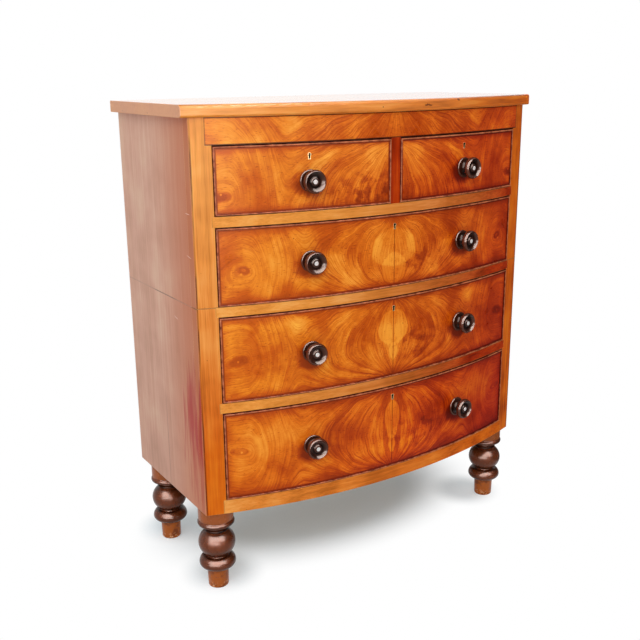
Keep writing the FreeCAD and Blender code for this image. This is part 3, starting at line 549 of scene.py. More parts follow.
def worn_foot(tree, place, wood, clouds, flecks):
    """Bare wood on a foot's ankle with stain left in patches, fresh chips near the sole, and a worn drum."""
    colours = bpy.context.scene.chest_colours
    height = add(tree, "SeparateXYZ", place).outputs["Z"]
    ragged = add(tree, "Math", flecks, 30 * MM, height, operation="MULTIPLY_ADD")
    ankle = WORN_ANKLE * MM
    worn = add(tree, "MapRange", ragged, ankle + 8 * MM, ankle + 24 * MM, 0.9, 0.0, **SMOOTH)
    stain = add(tree, "MapRange", clouds, 0.50, 0.60, 0.0, 0.75)
    stain = add(tree, "Math", worn, stain, worn, operation="MULTIPLY_ADD")
    stain = add(tree, "MapRange", stain, 1.0, 1.6, 0.0, 0.8)
    low = add(tree, "MapRange", height, 24 * MM, 4 * MM, 0.0, 0.9)
    chips = add(tree, "MapRange", flecks, 0.56, 0.62, 0.0, 1.0)
    chips = add(tree, "Math", chips, low, operation="MULTIPLY")
    drum_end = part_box("base_rail")[0].z - FOOT_DRUM * MM
    drum = add(tree, "MapRange", height, drum_end - 1 * MM, drum_end + 1 * MM, 0.0, 0.6)
    for share, colour_there in (
        (worn, colours.worn_wood),
        (stain, colours.turned_red),
        (chips, colours.chipped_wood),
        (drum, colours.worn_wood),
    ):
        wood = add(tree, "Mix", share, wood, colour_there, **COLOUR)
    return wood


def bead_mahogany(colours):
    """Dark mahogany bead, planed round and polished. The eye sees a deep red line with a rubbed nose that
    is lightened further as a painted highlight, and painted shade on its flanks.
    """
    material, tree, place = new_material("bead_mahogany_rounded")
    rubbed = add(tree, "Attribute", attribute_name="rubbed").outputs["Fac"]
    clouds = add(tree, "TexNoise", place, spots(18), 3.0, 0.6)
    # Tone: wear on the nose together with a painted highlight there, and painted shade on the flanks
    tone = add(tree, "Math", rubbed, 0.35, clouds, operation="MULTIPLY_ADD")
    wood = add(tree, "ValToRGB", tone, stops=[(0.50, colours.bead_dark), (0.95, colours.bead_light)])
    gloss = add(tree, "MapRange", clouds, 0.3, 0.7, 0.42, 0.26)
    surface(tree, base_color=wood, roughness=gloss, ior=1.5, specular=0.04)
    return material


def sawn_pine(name, along, colours):
    """Old pine, sawn and left bare. The eye sees dull yellow brown with darker late wood and some dirt."""
    material, tree, place = new_material(name)
    # Year rings are drawn about three times as wide as they are
    scale = [spots(11)] * 3
    scale[along] = spots(600)
    stretched = add(tree, "VectorMath", place, scale, operation="MULTIPLY")
    rings = add(tree, "TexNoise", stretched, 1.0, 3.0, 0.6, None, 0.8)
    dirt = add(tree, "TexNoise", place, spots(90), 3.0, 0.6)
    grain = add(tree, "Math", rings, 0.6, operation="MULTIPLY")
    grain = add(tree, "Math", dirt, 0.4, grain, operation="MULTIPLY_ADD")
    wood = add(tree, "ValToRGB", grain, stops=[(0.38, colours.pine_dark), (0.60, colours.pine_light)])
    dull = add(tree, "MapRange", dirt, 0.3, 0.7, 0.62, 0.80)
    ripple = add(tree, "Bump", 0.3, 0.4 * MM, None, rings)
    surface(tree, base_color=wood, roughness=dull, normal=ripple, ior=1.5)
    return material


def pearl_shell(colours):
    """Mother of pearl, cut and polished. The eye sees near white with faint pink and green clouds."""
    material, tree, place = new_material("mother_of_pearl_polished")
    layers = add(tree, "TexNoise", place, spots(3), 2.0, 0.5, None, 1.0)
    green = linear("#C8D2CC")
    pink = linear("#EBD2D2")
    shell = add(tree, "ValToRGB", layers, stops=[(0.36, green), (0.50, colours.pearl), (0.64, pink)])
    gloss = add(tree, "MapRange", layers, 0.3, 0.7, 0.12, 0.24)
    surface(tree, base_color=shell, roughness=gloss, ior=1.6)
    return material


def old_metal(name, bright, roughness, arc_of_front=None):
    """Filed metal gone dull with age. The eye sees a soft shine under cloudy tarnish and, with the bow of
    the front given, black painted shade in the keyholes just behind it."""
    material, tree, place = new_material(name)
    tarnish = add(tree, "TexNoise", place, spots(8), 3.0, 0.6)
    dulled = [channel * 0.5 for channel in bright]
    metal = add(tree, "ValToRGB", tarnish, stops=[(0.38, dulled), (0.62, bright)])
    if arc_of_front:
        radius, axis_y = arc_of_front
        share = oval(tree, place, (0, axis_y, 0), (radius, radius, 1000.0))
        # Painted shade: metal from about 2 to 15 mm behind the bow line, inside the keyholes, is painted near
        # black
        inside = add(tree, "MapRange", share, 1 - 1.9 * MM / radius, 1 - 1.5 * MM / radius, 1.0, 0.0)
        behind = add(tree, "MapRange", share, 1 - 16 * MM / radius, 1 - 15 * MM / radius, 0.0, 1.0)
        keyhole_shade = add(tree, "Math", inside, behind, operation="MULTIPLY")
        metal = add(tree, "Mix", keyhole_shade, metal, linear("#0C0705"), **COLOUR)
    gloss = add(tree, "MapRange", tarnish, 0.3, 0.7, roughness + 0.15, roughness)
    surface(tree, base_color=metal, roughness=gloss, metallic=1.0)
    return material


def dress(material, *names):
    """Gives CAD nodes a material."""
    for name in names:
        for slot in frame["nodes"][name].material_slots:
            slot.material = material


def arc(start, through, end, count):
    """Points of the circle through three points: its centre lies on the middle lines of both chords, and
    the angle about it goes evenly from the start to the end."""
    corners = np.array([start, through, end], float)
    chords = np.diff(corners, axis=0)
    middles = (corners[:-1] + corners[1:]) / 2
    centre = np.linalg.solve(chords, (chords * middles).sum(axis=1))
    spokes = corners - centre
    angles = np.unwrap(np.arctan2(spokes[:, 1], spokes[:, 0]))
    turn = np.linspace(angles[0], angles[2], count)
    radius = np.linalg.norm(spokes[0])
    return centre + radius * np.column_stack([np.cos(turn), np.sin(turn)])


def lathe_outline(start, cuts):
    """Outline of a turned piece as (radius, height) points in metres, from sizes in millimetres. Each cut
    goes on to a radius and a height, in a line or on an arc through a middle radius and height."""
    pieces = [np.array([start], float)]
    for radius, height, *middle in cuts:
        here = pieces[-1][-1]
        if middle:
            pieces.append(arc(here, middle, (radius, height), 24)[1:])
        else:
            pieces.append(np.array([[radius, height]], float))
    return np.concatenate(pieces) * MM


def eased(outline, spacing):
    """The outline with its corners rubbed: evenly spaced points, each moved to the mean of itself, taken
    twice, and its two neighbours."""
    steps = np.linalg.norm(np.diff(outline, axis=0), axis=1)
    travelled = np.concatenate([[0.0], np.cumsum(steps)])
    even = np.linspace(0.0, travelled[-1], round(travelled[-1] / spacing) + 1)
    points = np.column_stack([np.interp(even, travelled, column) for column in outline.T])
    points[1:-1] = (points[:-2] + 2 * points[1:-1] + points[2:]) / 4
    return points


def rubbed_and_shaded_parts(outline):
    """How much hands and cloths reach each point of an outline, which also leaves painted shade in the
    hollows: how far out it lies, as a share of the largest radius squared, and its turn to the outside
    there, taken over a few neighbours."""
    radius = outline[:, 0]
    steps = np.diff(outline, axis=0)
    heading = np.unwrap(np.arctan2(steps[:, 1], steps[:, 0]))
    bend = np.concatenate([[0.0], np.diff(heading), [0.0]])
    turn = np.convolve(bend, np.ones(7), "same") / math.radians(60)
    return np.clip((radius / radius.max()) ** 2 + 0.4 * np.clip(turn, -1.0, 1.0), 0.0, 1.0)


def turned(outline, around):
    """Surface of a turned piece: the outline point at radius r and height h goes round the axis as
    r cos t, r sin t, h. The grid has a row for each outline point and closes round each row."""
    turn = np.linspace(0.0, 2 * math.pi, around, endpoint=False)
    radius, height = outline[:, :1], outline[:, 1:]
    level = np.broadcast_to(height, (len(outline), around))
    return np.stack([radius * np.cos(turn), radius * np.sin(turn), level], axis=2)


def bow(sizes):
    """Radius of the bow and the y of its axis: its arc falls back by the bow's depth at the case sides."""
    half_width = -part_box("lower_left_side")[0].x
    radius = (half_width**2 + sizes.bow_depth**2) / (2 * sizes.bow_depth)
    return radius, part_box("base_rail")[0].y + radius


def onto_front(grid, x, z, sizes):
    """Carries a piece turned about +Z onto the bowed front at x and z, its axis standing out along the
    radius of the bow: the piece is laid forwards, then turned about the bow's own axis."""
    radius, axis_y = bow(sizes)
    lean = math.asin(x / radius)
    reach = radius - sizes.front_recess + grid[..., 2]
    across = grid[..., 0]
    return np.stack(
        [
            across * math.cos(lean) + reach * math.sin(lean),
            axis_y + across * math.sin(lean) - reach * math.cos(lean),
            z + grid[..., 1],
        ],
        axis=-1,
    )


def bead_section(sizes):
    """Section of a cock bead as insets from the drawer's edge and stands from the bow line: two flat sides
    and a half round nose. The third array is how much each point is rubbed, which is most on the nose; it
    also lays a painted highlight along the nose and painted shade on the flanks."""
    half = sizes.bead_width / 2
    nose = np.linspace(0.0, math.pi, 13)
    root = sizes.bead_stand - sizes.bead_depth
    inset = np.concatenate([[0.0], half - half * np.cos(nose), [sizes.bead_width]])
    stand = np.concatenate([[root], sizes.bead_stand - half + half * np.sin(nose), [root]])
    rubbed = np.concatenate([[0.0], np.sin(nose) ** 4, [0.0]])
    return inset, stand, rubbed


def bead_frame(low, high, sizes):
    """Cock bead round a drawer front: its section carried round a rectangle and mitred at its corners. A
    point that lies d inside the front's edge runs round the rectangle that is d smaller on each side, and
    one that stands s out from the bow line follows an arc of radius R + s."""
    radius, axis_y = bow(sizes)
    inset, stand, rubbed = bead_section(sizes)
    run = np.linspace(0.0, 1.0, 96, endpoint=False)
    rise = np.linspace(0.0, 1.0, 12, endpoint=False)
    share_x = np.concatenate([run, np.ones_like(rise), 1 - run, np.zeros_like(rise)])[:, None]
    share_z = np.concatenate([np.zeros_like(run), rise, np.ones_like(run), 1 - rise])[:, None]
    x = low.x + inset + (high.x - low.x - 2 * inset) * share_x
    z = low.z + inset + (high.z - low.z - 2 * inset) * share_z
    y = axis_y - np.sqrt((radius + stand) ** 2 - x**2)
    return np.stack([x, y, z], axis=2), np.broadcast_to(rubbed, x.shape)


def surface_piece(name, grids, rubs, ring_rows, material, body, node):
    """One piece made of point grids, each closed across its columns and, with ring_rows, from its last
    row back to its first. It rides on the body and stands for the CAD node."""
    points, faces, count = [], [], 0
    for grid in grids:
        rows, columns = grid.shape[:2]
        index = np.arange(rows * columns).reshape(rows, columns) + count
        index = np.concatenate([index, index[:, :1]], axis=1)
        if ring_rows:
            index = np.concatenate([index, index[:1]])
        quads = [index[:-1, :-1], index[:-1, 1:], index[1:, 1:], index[1:, :-1]]
        faces.append(np.stack(quads, axis=2).reshape(-1, 4))
        points.append(grid.reshape(-1, 3))
        count += rows * columns
    mesh = bpy.data.meshes.new(name)
    mesh.from_pydata(np.concatenate(points), [], np.concatenate(faces))
    wear = mesh.attributes.new("rubbed", "FLOAT", "POINT")
    wear.data.foreach_set("value", np.concatenate([rub.ravel() for rub in rubs]))
    shell = bmesh.new()
    shell.from_mesh(mesh)
    bmesh.ops.remove_doubles(shell, verts=shell.verts, dist=1e-6)
    bmesh.ops.recalc_face_normals(shell, faces=shell.faces)
    shell.to_mesh(mesh)
    shell.free()
    mesh.polygons.foreach_set("use_smooth", [True] * len(mesh.polygons))
    mesh.set_sharp_from_angle(angle=math.radians(40))
    mesh.materials.append(material)
    piece = bpy.data.objects.new(name, mesh)
    bpy.context.scene.collection.objects.link(piece)
    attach(piece, body)
    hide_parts(node)


def knob_outline(sizes):
    """Knob from its seat on the drawer front: rounded flange, hollow neck, swelling head, dished face and
    raised boss with a bed for the inlay."""
    out = sizes.knob_projection / MM
    boss = out - BOSS_DEPTH
    bed = boss - INLAY_THICKNESS
    outline = lathe_outline(
        (0.0, -3.0),
        [
            (9.0, -3.0),
            (9.0, 0.0),
            (24.0, 0.0),
            (24.0, 6.0, 27.0, 3.0),
            (25.0, 24.0, 11.5, 15.5),
            (25.0, out, 28.8, (24.0 + out) / 2),
            (12.5, out - 6.5, 20.0, out - 5.0),
            (9.0, boss, 10.8, out - 4.6),
            (5.5, boss),
            (5.5, bed),
            (0.0, bed),
        ],
    )
    return eased(outline, 0.6 * MM)


def inlay_outline(sizes):
    """Pearl disc with a slightly domed face."""
    boss = sizes.knob_projection / MM - BOSS_DEPTH
    bed = boss - INLAY_THICKNESS
    outline = lathe_outline((0.0, bed), [(5.4, bed), (5.4, boss), (0.0, boss + 0.5, 2.7, boss + 0.38)])
    return eased(outline, 0.25 * MM)


def foot_outline(top):
    """Foot from the case down: drum, groove, bead, neck, ring, ball, waist, ledge, disc and ankle. The
    cuts give radii and drops below the case, in millimetres."""
    outline = lathe_outline(
        (0.0, 0.0),
        [
            (46.5, 0.0),
            (46.5, FOOT_DRUM),
            (44.0, FOOT_DRUM),
            (44.0, 38.0),
            (37.5, 50.0, 49.0, 43.5),
            (29.0, 63.0, 26.0, 57.0),
            (28.0, 70.0, 32.0, 66.5),
            (28.0, 139.0, 49.0, 104.5),
            (27.0, 139.0),
            (27.0, 143.0),
            (36.0, 143.0),
            (48.5, 164.5, 45.5, 151.0),
            (28.5, 176.0, 43.0, 172.5),
            (27.0, top - 4.0),
            (23.0, top, 25.8, top - 1.2),
            (0.0, top),
        ],
    )
    outline[:, 1] = top * MM - outline[:, 1]
    return eased(outline, 1.2 * MM)


def long_sheet(node, seed, knot, knot_shade, depth, lenses):
    """Veneer of a long drawer: poles just past its edges, a join in the middle and smudges right of it."""
    low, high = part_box(node)
    middle = (low.z + high.z) / 2
    return VeneerSheet(
        node,
        seed,
        middle,
        pole=1.06 * (high.z - low.z) / 2,
        knot=knot,
        depth=depth,
        stretch=2.2,
        knot_shade=knot_shade,
        lenses=lenses,
        smudge=(0.08, middle - 0.03, 0.06),
        join_shade=0.25,
    )


class CHEST_OT_fronts(bpy.types.Operator):
    """Veneers the drawer fronts and the frieze"""

    bl_idname = "chest.fronts"
    bl_label = "Veneer the fronts"

    def execute(self, context):
        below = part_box("top_left_drawer_front")[0].z - 10 * MM
        end_knot = (0.458, 1.050)
        right = VeneerSheet("top_right_drawer_front", 6.1, below, pole=0.16, knot=end_knot, depth=0.25)
        left = right._replace(node="top_left_drawer_front", depth=0.15, smudge=(-0.08, 1.04, 0.08))
        frieze = right._replace(
            node="frieze_rail", seed=8.4, pole=0.26, depth=0.16, knot_shade=0.0, grime=0.0
        )
        sheets = [left, right, frieze]
        for drawer, seed, knot, knot_shade, depth, lenses in (
            ("upper", 1.3, (0.418, 0.858), 0.05, -0.03, ((14, 68, 56, 0.06), (-44, 34, 40, 0.06))),
            ("middle", 2.9, (0.433, 0.638), 0.07, -0.15, ((26, 48, 50, 0.07), (-40, 18, 30, 0.07))),
            ("bottom", 4.7, (0.432, 0.396), 0.07, 0.0, ((24, 32, 52, 0.08), (-44, 14, 34, 0.08))),
        ):
            sheets.append(long_sheet(drawer + "_long_drawer_front", seed, knot, knot_shade, depth, lenses))
        for sheet in sheets:
            dress(figured_veneer(sheet, context.scene.chest_sizes.knob_column), sheet.node)
        return {"FINISHED"}


def outer_face():
    """Distance from the middle to just under the outer faces of the sides."""
    return -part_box("lower_left_side")[0].x - 1 * MM


def seam_dirt(tree, place, wood, clouds):
    """Dark dirt in the seam between the two sections, rubbed out here and there."""
    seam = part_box("upper_left_side")[0].z
    height = add(tree, "SeparateXYZ", place).outputs["Z"]
    off = add(tree, "Math", height, seam, operation="SUBTRACT")
    off = add(tree, "Math", off, operation="ABSOLUTE")
    share = add(tree, "MapRange", off, 0.5 * MM, 1.8 * MM, 0.85, 0.0)
    broken = add(tree, "MapRange", clouds, 0.40, 0.60, 0.25, 1.0)
    share = add(tree, "Math", share, broken, operation="MULTIPLY")
    return add(tree, "Mix", share, wood, linear("#1E0A04"), **COLOUR)


def rail_joints(tree, place, wood, clouds):
    """Dark dirt in the joints at the ends of the rails."""
    rail_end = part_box("base_rail")[1].x
    across = add(tree, "SeparateXYZ", place).outputs["X"]
    across = add(tree, "Math", across, operation="ABSOLUTE")
    share = add(tree, "MapRange", across, rail_end - 1.4 * MM, rail_end, 0.0, 0.7)
    return add(tree, "Mix", share, wood, linear("#3A1204"), **COLOUR)


def scratches(tree, place, wood):
    """Three pale scratches on the left side, each by its y, its height and its lean in degrees."""
    for y, height, lean in ((-0.136, 1.006, 2), (-0.133, 0.903, 12), (-0.037, 0.732, 14)):
        centre = (-outer_face(), y, height)
        tilt = (math.radians(lean), 0.0, 0.0)
        extent = (0.3, 14 * MM, 1.0 * MM)
        scratch = add(tree, "Mapping", place, centre, tilt, extent, vector_type="TEXTURE")
        scratch = add(tree, "VectorMath", scratch, operation="LENGTH")
        scratch = add(tree, "MapRange", scratch, 0.5, 1.0, 0.6, 0.0)
        wood = add(tree, "Mix", scratch, wood, linear("#F8E0D4"), **COLOUR)
    return wood


def side_marks(tree, place, wood, clouds):
    """Warmer wood near the front of the sides and, on the left one, a long streaky red stain below, a glue
    line behind it and pale scratches. The seam runs across both."""
    colours = bpy.context.scene.chest_colours
    glue_line = oval(tree, place, (-outer_face(), 0.06, 0.36), (0.3, 2.0 * MM, 0.17))
    glue_line = add(tree, "MapRange", glue_line, 0.5, 1.0, 0.5, 0.0)
    wood = add(tree, "Mix", glue_line, wood, linear("#4A2A20"), **COLOUR)

    deepness = add(tree, "SeparateXYZ", place).outputs["Y"]
    near_front = add(tree, "MapRange", deepness, 0.10, -0.16, 0.0, 0.75, **SMOOTH)
    wood = add(tree, "Mix", near_front, wood, colours.side_warm, **COLOUR)

    stain = oval(tree, place, (-outer_face(), -0.125, 0.45), (0.3, 0.085, 0.20))
    upright = add(tree, "Mapping", place, None, None, (1.0, 1.0, 0.1))
    streaks = add(tree, "TexNoise", upright, spots(16), 3.0)
    ragged = add(tree, "Math", streaks, 3.0, stain, operation="MULTIPLY_ADD")
    share = add(tree, "MapRange", ragged, 1.5, 2.5, 0.85, 0.0, **SMOOTH)
    wood = add(tree, "Mix", share, wood, colours.side_red, **COLOUR)

    wood = scratches(tree, place, wood)
    return seam_dirt(tree, place, wood, clouds)


def post_faces(tree, place, wood, clouds):
    """The posts' outer faces carry on the faded sides, with their marks. Dirt lies in a broken line along
    the corner and in the seam."""
    across = add(tree, "SeparateXYZ", place).outputs["X"]
    across = add(tree, "Math", across, operation="ABSOLUTE")
    face = outer_face()
    corner = add(tree, "MapRange", across, face - 4.0 * MM, face - 2.4 * MM, 0.0, 1.0)
    broken = add(tree, "MapRange", clouds, 0.40, 0.60, 0.3, 0.9)
    corner = add(tree, "Math", corner, broken, operation="MULTIPLY")
    wood = add(tree, "Mix", corner, wood, linear("#5A1A06"), **COLOUR)

    outside = add(tree, "Math", across, face, operation="GREATER_THAN")
    side = add(tree, "ValToRGB", clouds, stops=list(zip((0.3, 0.5, 0.7), tones("side", *GRAIN_TONES))))
    side = side_marks(tree, place, side, clouds)
    wood = add(tree, "Mix", outside, wood, side, **COLOUR)
    return seam_dirt(tree, place, wood, clouds)


def top_edges(tree, place, wood, clouds):
    """Plain long grain on the bowed front edge, with two dark marks, and bleached wood on the left edge."""
    radius, axis_y = bow(bpy.context.scene.chest_sizes)
    from_axis = oval(tree, place, (0, axis_y, 0), (radius, radius, 1000.0))
    on_front = add(tree, "MapRange", from_axis, 1.004, 1.006, 0.0, 1.0)
    long_grain = (spots(120), spots(400), spots(10))
    grain = add(tree, "VectorMath", place, long_grain, operation="MULTIPLY")
    grain = add(tree, "TexNoise", grain, 1.0, 3.0, 0.55)
    levels = (0.20, 0.5, 0.80)
    pale = add(tree, "ValToRGB", grain, stops=list(zip(levels, tones("pale", *GRAIN_TONES))))
    rich = add(tree, "ValToRGB", grain, stops=list(zip(levels, tones("rich", *GRAIN_TONES))))
    edge = add(tree, "Mix", depth_of_colour(tree, place, BASE_FADING, 0.1), pale, rich, **COLOUR)
    wood = add(tree, "Mix", on_front, wood, edge, **COLOUR)

    # The dark marks, each by its x, its height and half its length; they run through to the back edge
    smears = add(tree, "TexNoise", place, spots(5), 3.0, 0.6)
    for x, height, reach in ((0.092, 1.2405, 15 * MM), (0.204, 1.251, 7 * MM)):
        mark = oval(tree, place, (x, 0.0, height), (reach, 10.0, 3.5 * MM))
        mark = add(tree, "Math", smears, 3.0, mark, operation="MULTIPLY_ADD")
        mark = add(tree, "MapRange", mark, 2.0, 2.3, 0.85, 0.0)
        wood = add(tree, "Mix", mark, wood, linear("#4A1806"), **COLOUR)

    left_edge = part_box("top_board")[0].x
    across = add(tree, "SeparateXYZ", place).outputs["X"]
    on_left = add(tree, "MapRange", across, left_edge + 3 * MM, left_edge + 1 * MM, 0.0, 0.7)
    return add(tree, "Mix", on_left, wood, bpy.context.scene.chest_colours.side_mid, **COLOUR)


class CHEST_OT_case(bpy.types.Operator):
    """Polishes the top, sides, stiles, rails and divider"""

    bl_idname = "chest.case"
    bl_label = "Polish the case"

    def execute(self, context):
        faded = tones("pale", *GRAIN_TONES)
        deep = tones("rich", *GRAIN_TONES)
        red = tones("deep", "dark", "red", "orange")
        side = tones("side", *GRAIN_TONES)
        deeper = (0.72, 0.58, 0.52)  # share of red, green and blue left where the sides are deepest
        side_deep = [[channel * share for channel, share in zip(tone, deeper)] for tone in side]
        rails = straight_mahogany(
            "mahogany_rails_polished", ACROSS, faded, red, RAIL_FADING, shine=0.04, extra=rail_joints
        )
        dress(rails, "upper_drawer_rail", "waist_rail", "lower_drawer_rail")
        base = straight_mahogany(
            "mahogany_base_polished", ACROSS, faded, deep, BASE_FADING, shine=0.04, extra=rail_joints
        )
        dress(base, "base_rail")
        top = straight_mahogany(
            "mahogany_top_polished", ACROSS, faded, deep, RAIL_FADING, coat=1.0, extra=top_edges
        )
        dress(top, "top_board")
        posts = straight_mahogany(
            "mahogany_posts_polished", UPRIGHT, faded, deep, POST_FADING, shine=0.05, extra=post_faces
        )
        dress(posts, "upper_stiles", "lower_stiles")
        divider = straight_mahogany("mahogany_divider_polished", UPRIGHT, red, red, shine=0.03)
        dress(divider, "short_drawer_divider")
        sides = straight_mahogany(
            "mahogany_sides_faded", UPRIGHT, side, side_deep, shine=0.12, extra=side_marks
        )
        dress(sides, "upper_left_side", "upper_right_side", "lower_left_side", "lower_right_side")
        return {"FINISHED"}


class CHEST_OT_beads(bpy.types.Operator):
    """Fits the round-nosed cock beads"""

    bl_idname = "chest.beads"
    bl_label = "Fit the cock beads"

    def execute(self, context):
        wood = bead_mahogany(context.scene.chest_colours)
        for drawer in DRAWERS:
            node = drawer + "_cockbeads"
            grid, rub = bead_frame(*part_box(node), context.scene.chest_sizes)
            surface_piece(drawer + "_rounded_beads", [grid], [rub], True, wood, drawer, node)
        return {"FINISHED"}


class CHEST_OT_knobs(bpy.types.Operator):
    """Turns the knobs and lets in their pearl discs"""

    bl_idname = "chest.knobs"
    bl_label = "Turn the knobs"

    def execute(self, context):
        sizes = context.scene.chest_sizes
        colours = context.scene.chest_colours
        wood = turned_mahogany(
            "knob_mahogany_stained", colours.knob_dark, colours.knob_red, polish=0.10, shine=0.30
        )
        pearl = pearl_shell(colours)
        for outline, around, piece, node, material, slot in (
            (knob_outline(sizes), 64, "_turned_knobs", "_knobs", wood, "dark_mahogany"),
            (inlay_outline(sizes), 40, "_pearl_discs", "_knob_inlays", pearl, "pearl"),
        ):
            grid = turned(outline, around)
            rub = np.broadcast_to(rubbed_and_shaded_parts(outline)[:, None], grid.shape[:2])
            for drawer in DRAWERS:
                low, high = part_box(drawer + node)
                columns = [side * sizes.knob_column for side in (-1, 1)]
                columns = [x for x in columns if low.x < x < high.x]
                grids = [onto_front(grid, x, (low.z + high.z) / 2, sizes) for x in columns]
                rubs = [rub for _ in columns]
                surface_piece(drawer + piece, grids, rubs, False, material, drawer, drawer + node)
        return {"FINISHED"}


class CHEST_OT_feet(bpy.types.Operator):
    """Turns the four feet"""

    bl_idname = "chest.feet"
    bl_label = "Turn the feet"

    def execute(self, context):
        sizes = context.scene.chest_sizes
        colours = context.scene.chest_colours
        wood = turned_mahogany(
            "foot_mahogany_stained",
            colours.turned_dark,
            colours.turned_red,
            polish=0.22,
            shine=0.30,
            extra=worn_foot,
        )
        low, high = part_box("turned_feet")
        outline = foot_outline(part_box("base_rail")[0].z / MM)
        foot = turned(outline, 72)
        rub = np.broadcast_to(rubbed_and_shaded_parts(outline)[:, None], foot.shape[:2])
        widest = -low.x - sizes.foot_column
        rows = (low.y + widest, high.y - widest)
        feet = [foot + np.array([side * sizes.foot_column, y, 0.0]) for side in (-1, 1) for y in rows]
        rubs = [rub for _ in feet]
        surface_piece(
            "feet_turned_and_worn", feet, rubs, False, wood, "lower_section", "turned_feet"
        )
        return {"FINISHED"}


class CHEST_OT_insides(bpy.types.Operator):
    """Finishes the drawer boxes and the inside of the case in bare pine"""

    bl_idname = "chest.insides"
    bl_label = "Finish the insides"

    def execute(self, context):
        colours = context.scene.chest_colours
        upright = sawn_pine("pine_upright_sawn", UPRIGHT, colours)
        dress(upright, "upper_back_boards", "lower_back_boards", "section_dowels", "foot_blocks")
        across = sawn_pine("pine_across_sawn", ACROSS, colours)
        dress(across, "upper_floor_board", "bottom_board", "upper_drawer_stops", "lower_drawer_stops")
        deep = sawn_pine("pine_deep_sawn", DEEP, colours)
        dress(deep, "upper_runners", "upper_kickers", "lower_runners")
        dress(deep, *[drawer + "_box" for drawer in DRAWERS])
        return {"FINISHED"}


class CHEST_OT_locks(bpy.types.Operator):
    """Finishes the locks and their bolts"""

    bl_idname = "chest.locks"
    bl_label = "Finish the locks"

    def execute(self, context):
        colours = context.scene.chest_colours
        brass = old_metal("brass_filed_and_tarnished", colours.brass, 0.28, bow(context.scene.chest_sizes))
        dress(brass, *[drawer + "_lock" for drawer in DRAWERS])
        steel = old_metal("steel_filed", colours.steel, 0.32)
        dress(steel, *[drawer + "_lock_bolt" for drawer in DRAWERS])
        return {"FINISHED"}


def sheet_object(name, corners, material):
    """A flat four-cornered sheet of the stage."""
    mesh = bpy.data.meshes.new(name)
    mesh.from_pydata(corners, [], [(0, 1, 2, 3)])
    mesh.materials.append(material)
    sheet = bpy.data.objects.new(name, mesh)
    bpy.context.scene.collection.objects.link(sheet)
    return sheet


def seen_directly(tree):
    """1 for rays from the camera and for those in polish and glass, 0 for the light that the rest gets."""
    rays = add(tree, "LightPath").outputs
    seen = add(tree, "Math", rays["Is Camera Ray"], rays["Is Glossy Ray"], operation="MAXIMUM")
    return add(tree, "Math", seen, rays["Is Transmission Ray"], operation="MAXIMUM")


def paper_floor():
    """Matt white paper. The eye sees the soft shadow near the chest and plain white further off."""
    material, tree, place = new_material("paper_matt_white")
    # Fibres are drawn a few times as long as they are
    fibres = add(tree, "TexNoise", place, spots(4), 3.0, 0.6)
    white = add(tree, "ValToRGB", fibres, stops=[(0.3, linear("#E2EFF6")), (0.7, linear("#E7F4FB"))])
    paper = add(tree, "BsdfDiffuse", white)
    glow = add(tree, "Emission", (1.0, 1.0, 1.0), 1.0)
    distance = oval(tree, place, (0.0, 0.15, 0.0), (0.62, 0.37, 1.0))
    far = add(tree, "MapRange", distance, 0.5, 1.0, 0.0, 1.0, **SMOOTH)

    # The shadow is kept close to the feet too: mirrored about their middle, all four stand in one place
    feet_middle = (0.0, 0.09, 0.0)
    foot_place = (0.44, 0.155, 0.0)
    mirrored = add(tree, "VectorMath", place, feet_middle, operation="SUBTRACT")
    mirrored = add(tree, "VectorMath", mirrored, operation="ABSOLUTE")
    from_foot = add(tree, "VectorMath", mirrored, foot_place, operation="DISTANCE")
    clear = add(tree, "MapRange", from_foot, 0.04, 0.13, 0.3, 1.0, **SMOOTH)
    far = add(tree, "Math", far, clear, operation="MULTIPLY")
    share = add(tree, "Math", far, seen_directly(tree), operation="MULTIPLY")
    add(tree, "OutputMaterial", add(tree, "MixShader", share, paper, glow))
    return material


def dark_felt():
    """Dark felt on flats at the right. The eye sees it only as depth in the polish."""
    material, tree, place = new_material("felt_dark")
    # The nap is drawn a few times as coarse as it is
    nap = add(tree, "TexNoise", place, spots(5), 2.0, 0.5)
    felt = add(tree, "ValToRGB", nap, stops=[(0.3, linear("#2A2420")), (0.7, linear("#3A302A"))])
    surface(tree, base_color=felt, roughness=1.0)
    return material


def bright_card():
    """White card lit from behind, above the camera and behind it. The eye sees it only as soft lights in the
    polish."""
    material, tree, place = new_material("card_white_backlit")
    weave = add(tree, "TexNoise", place, spots(300), 2.0, 0.5)
    strength = add(tree, "MapRange", weave, 0.3, 0.7, 18.0, 24.0)
    add(tree, "OutputMaterial", add(tree, "Emission", (1.0, 1.0, 1.0), strength))
    return material


def soft_box(name, place, target, width, power):
    """A square lamp that faces the target."""
    light = bpy.data.lights.new(name, "AREA")
    light.energy = power
    light.size = width
    box = bpy.data.objects.new(name, light)
    box.location = place
    box.rotation_euler = (Vector(target) - Vector(place)).to_track_quat("-Z", "Y").to_euler()
    bpy.context.scene.collection.objects.link(box)


def studio_world(sky):
    """Even light of that strength from all round, which looks white itself."""
    world = bpy.data.worlds.new("studio")
    bpy.context.scene.world = world
    world.use_nodes = True
    tree = world.node_tree
    tree.nodes.clear()
    strength = add(tree, "MapRange", seen_directly(tree), 0.0, 1.0, sky, 1.0)
    add(tree, "OutputWorld", add(tree, "Background", (1.0, 1.0, 1.0), strength))


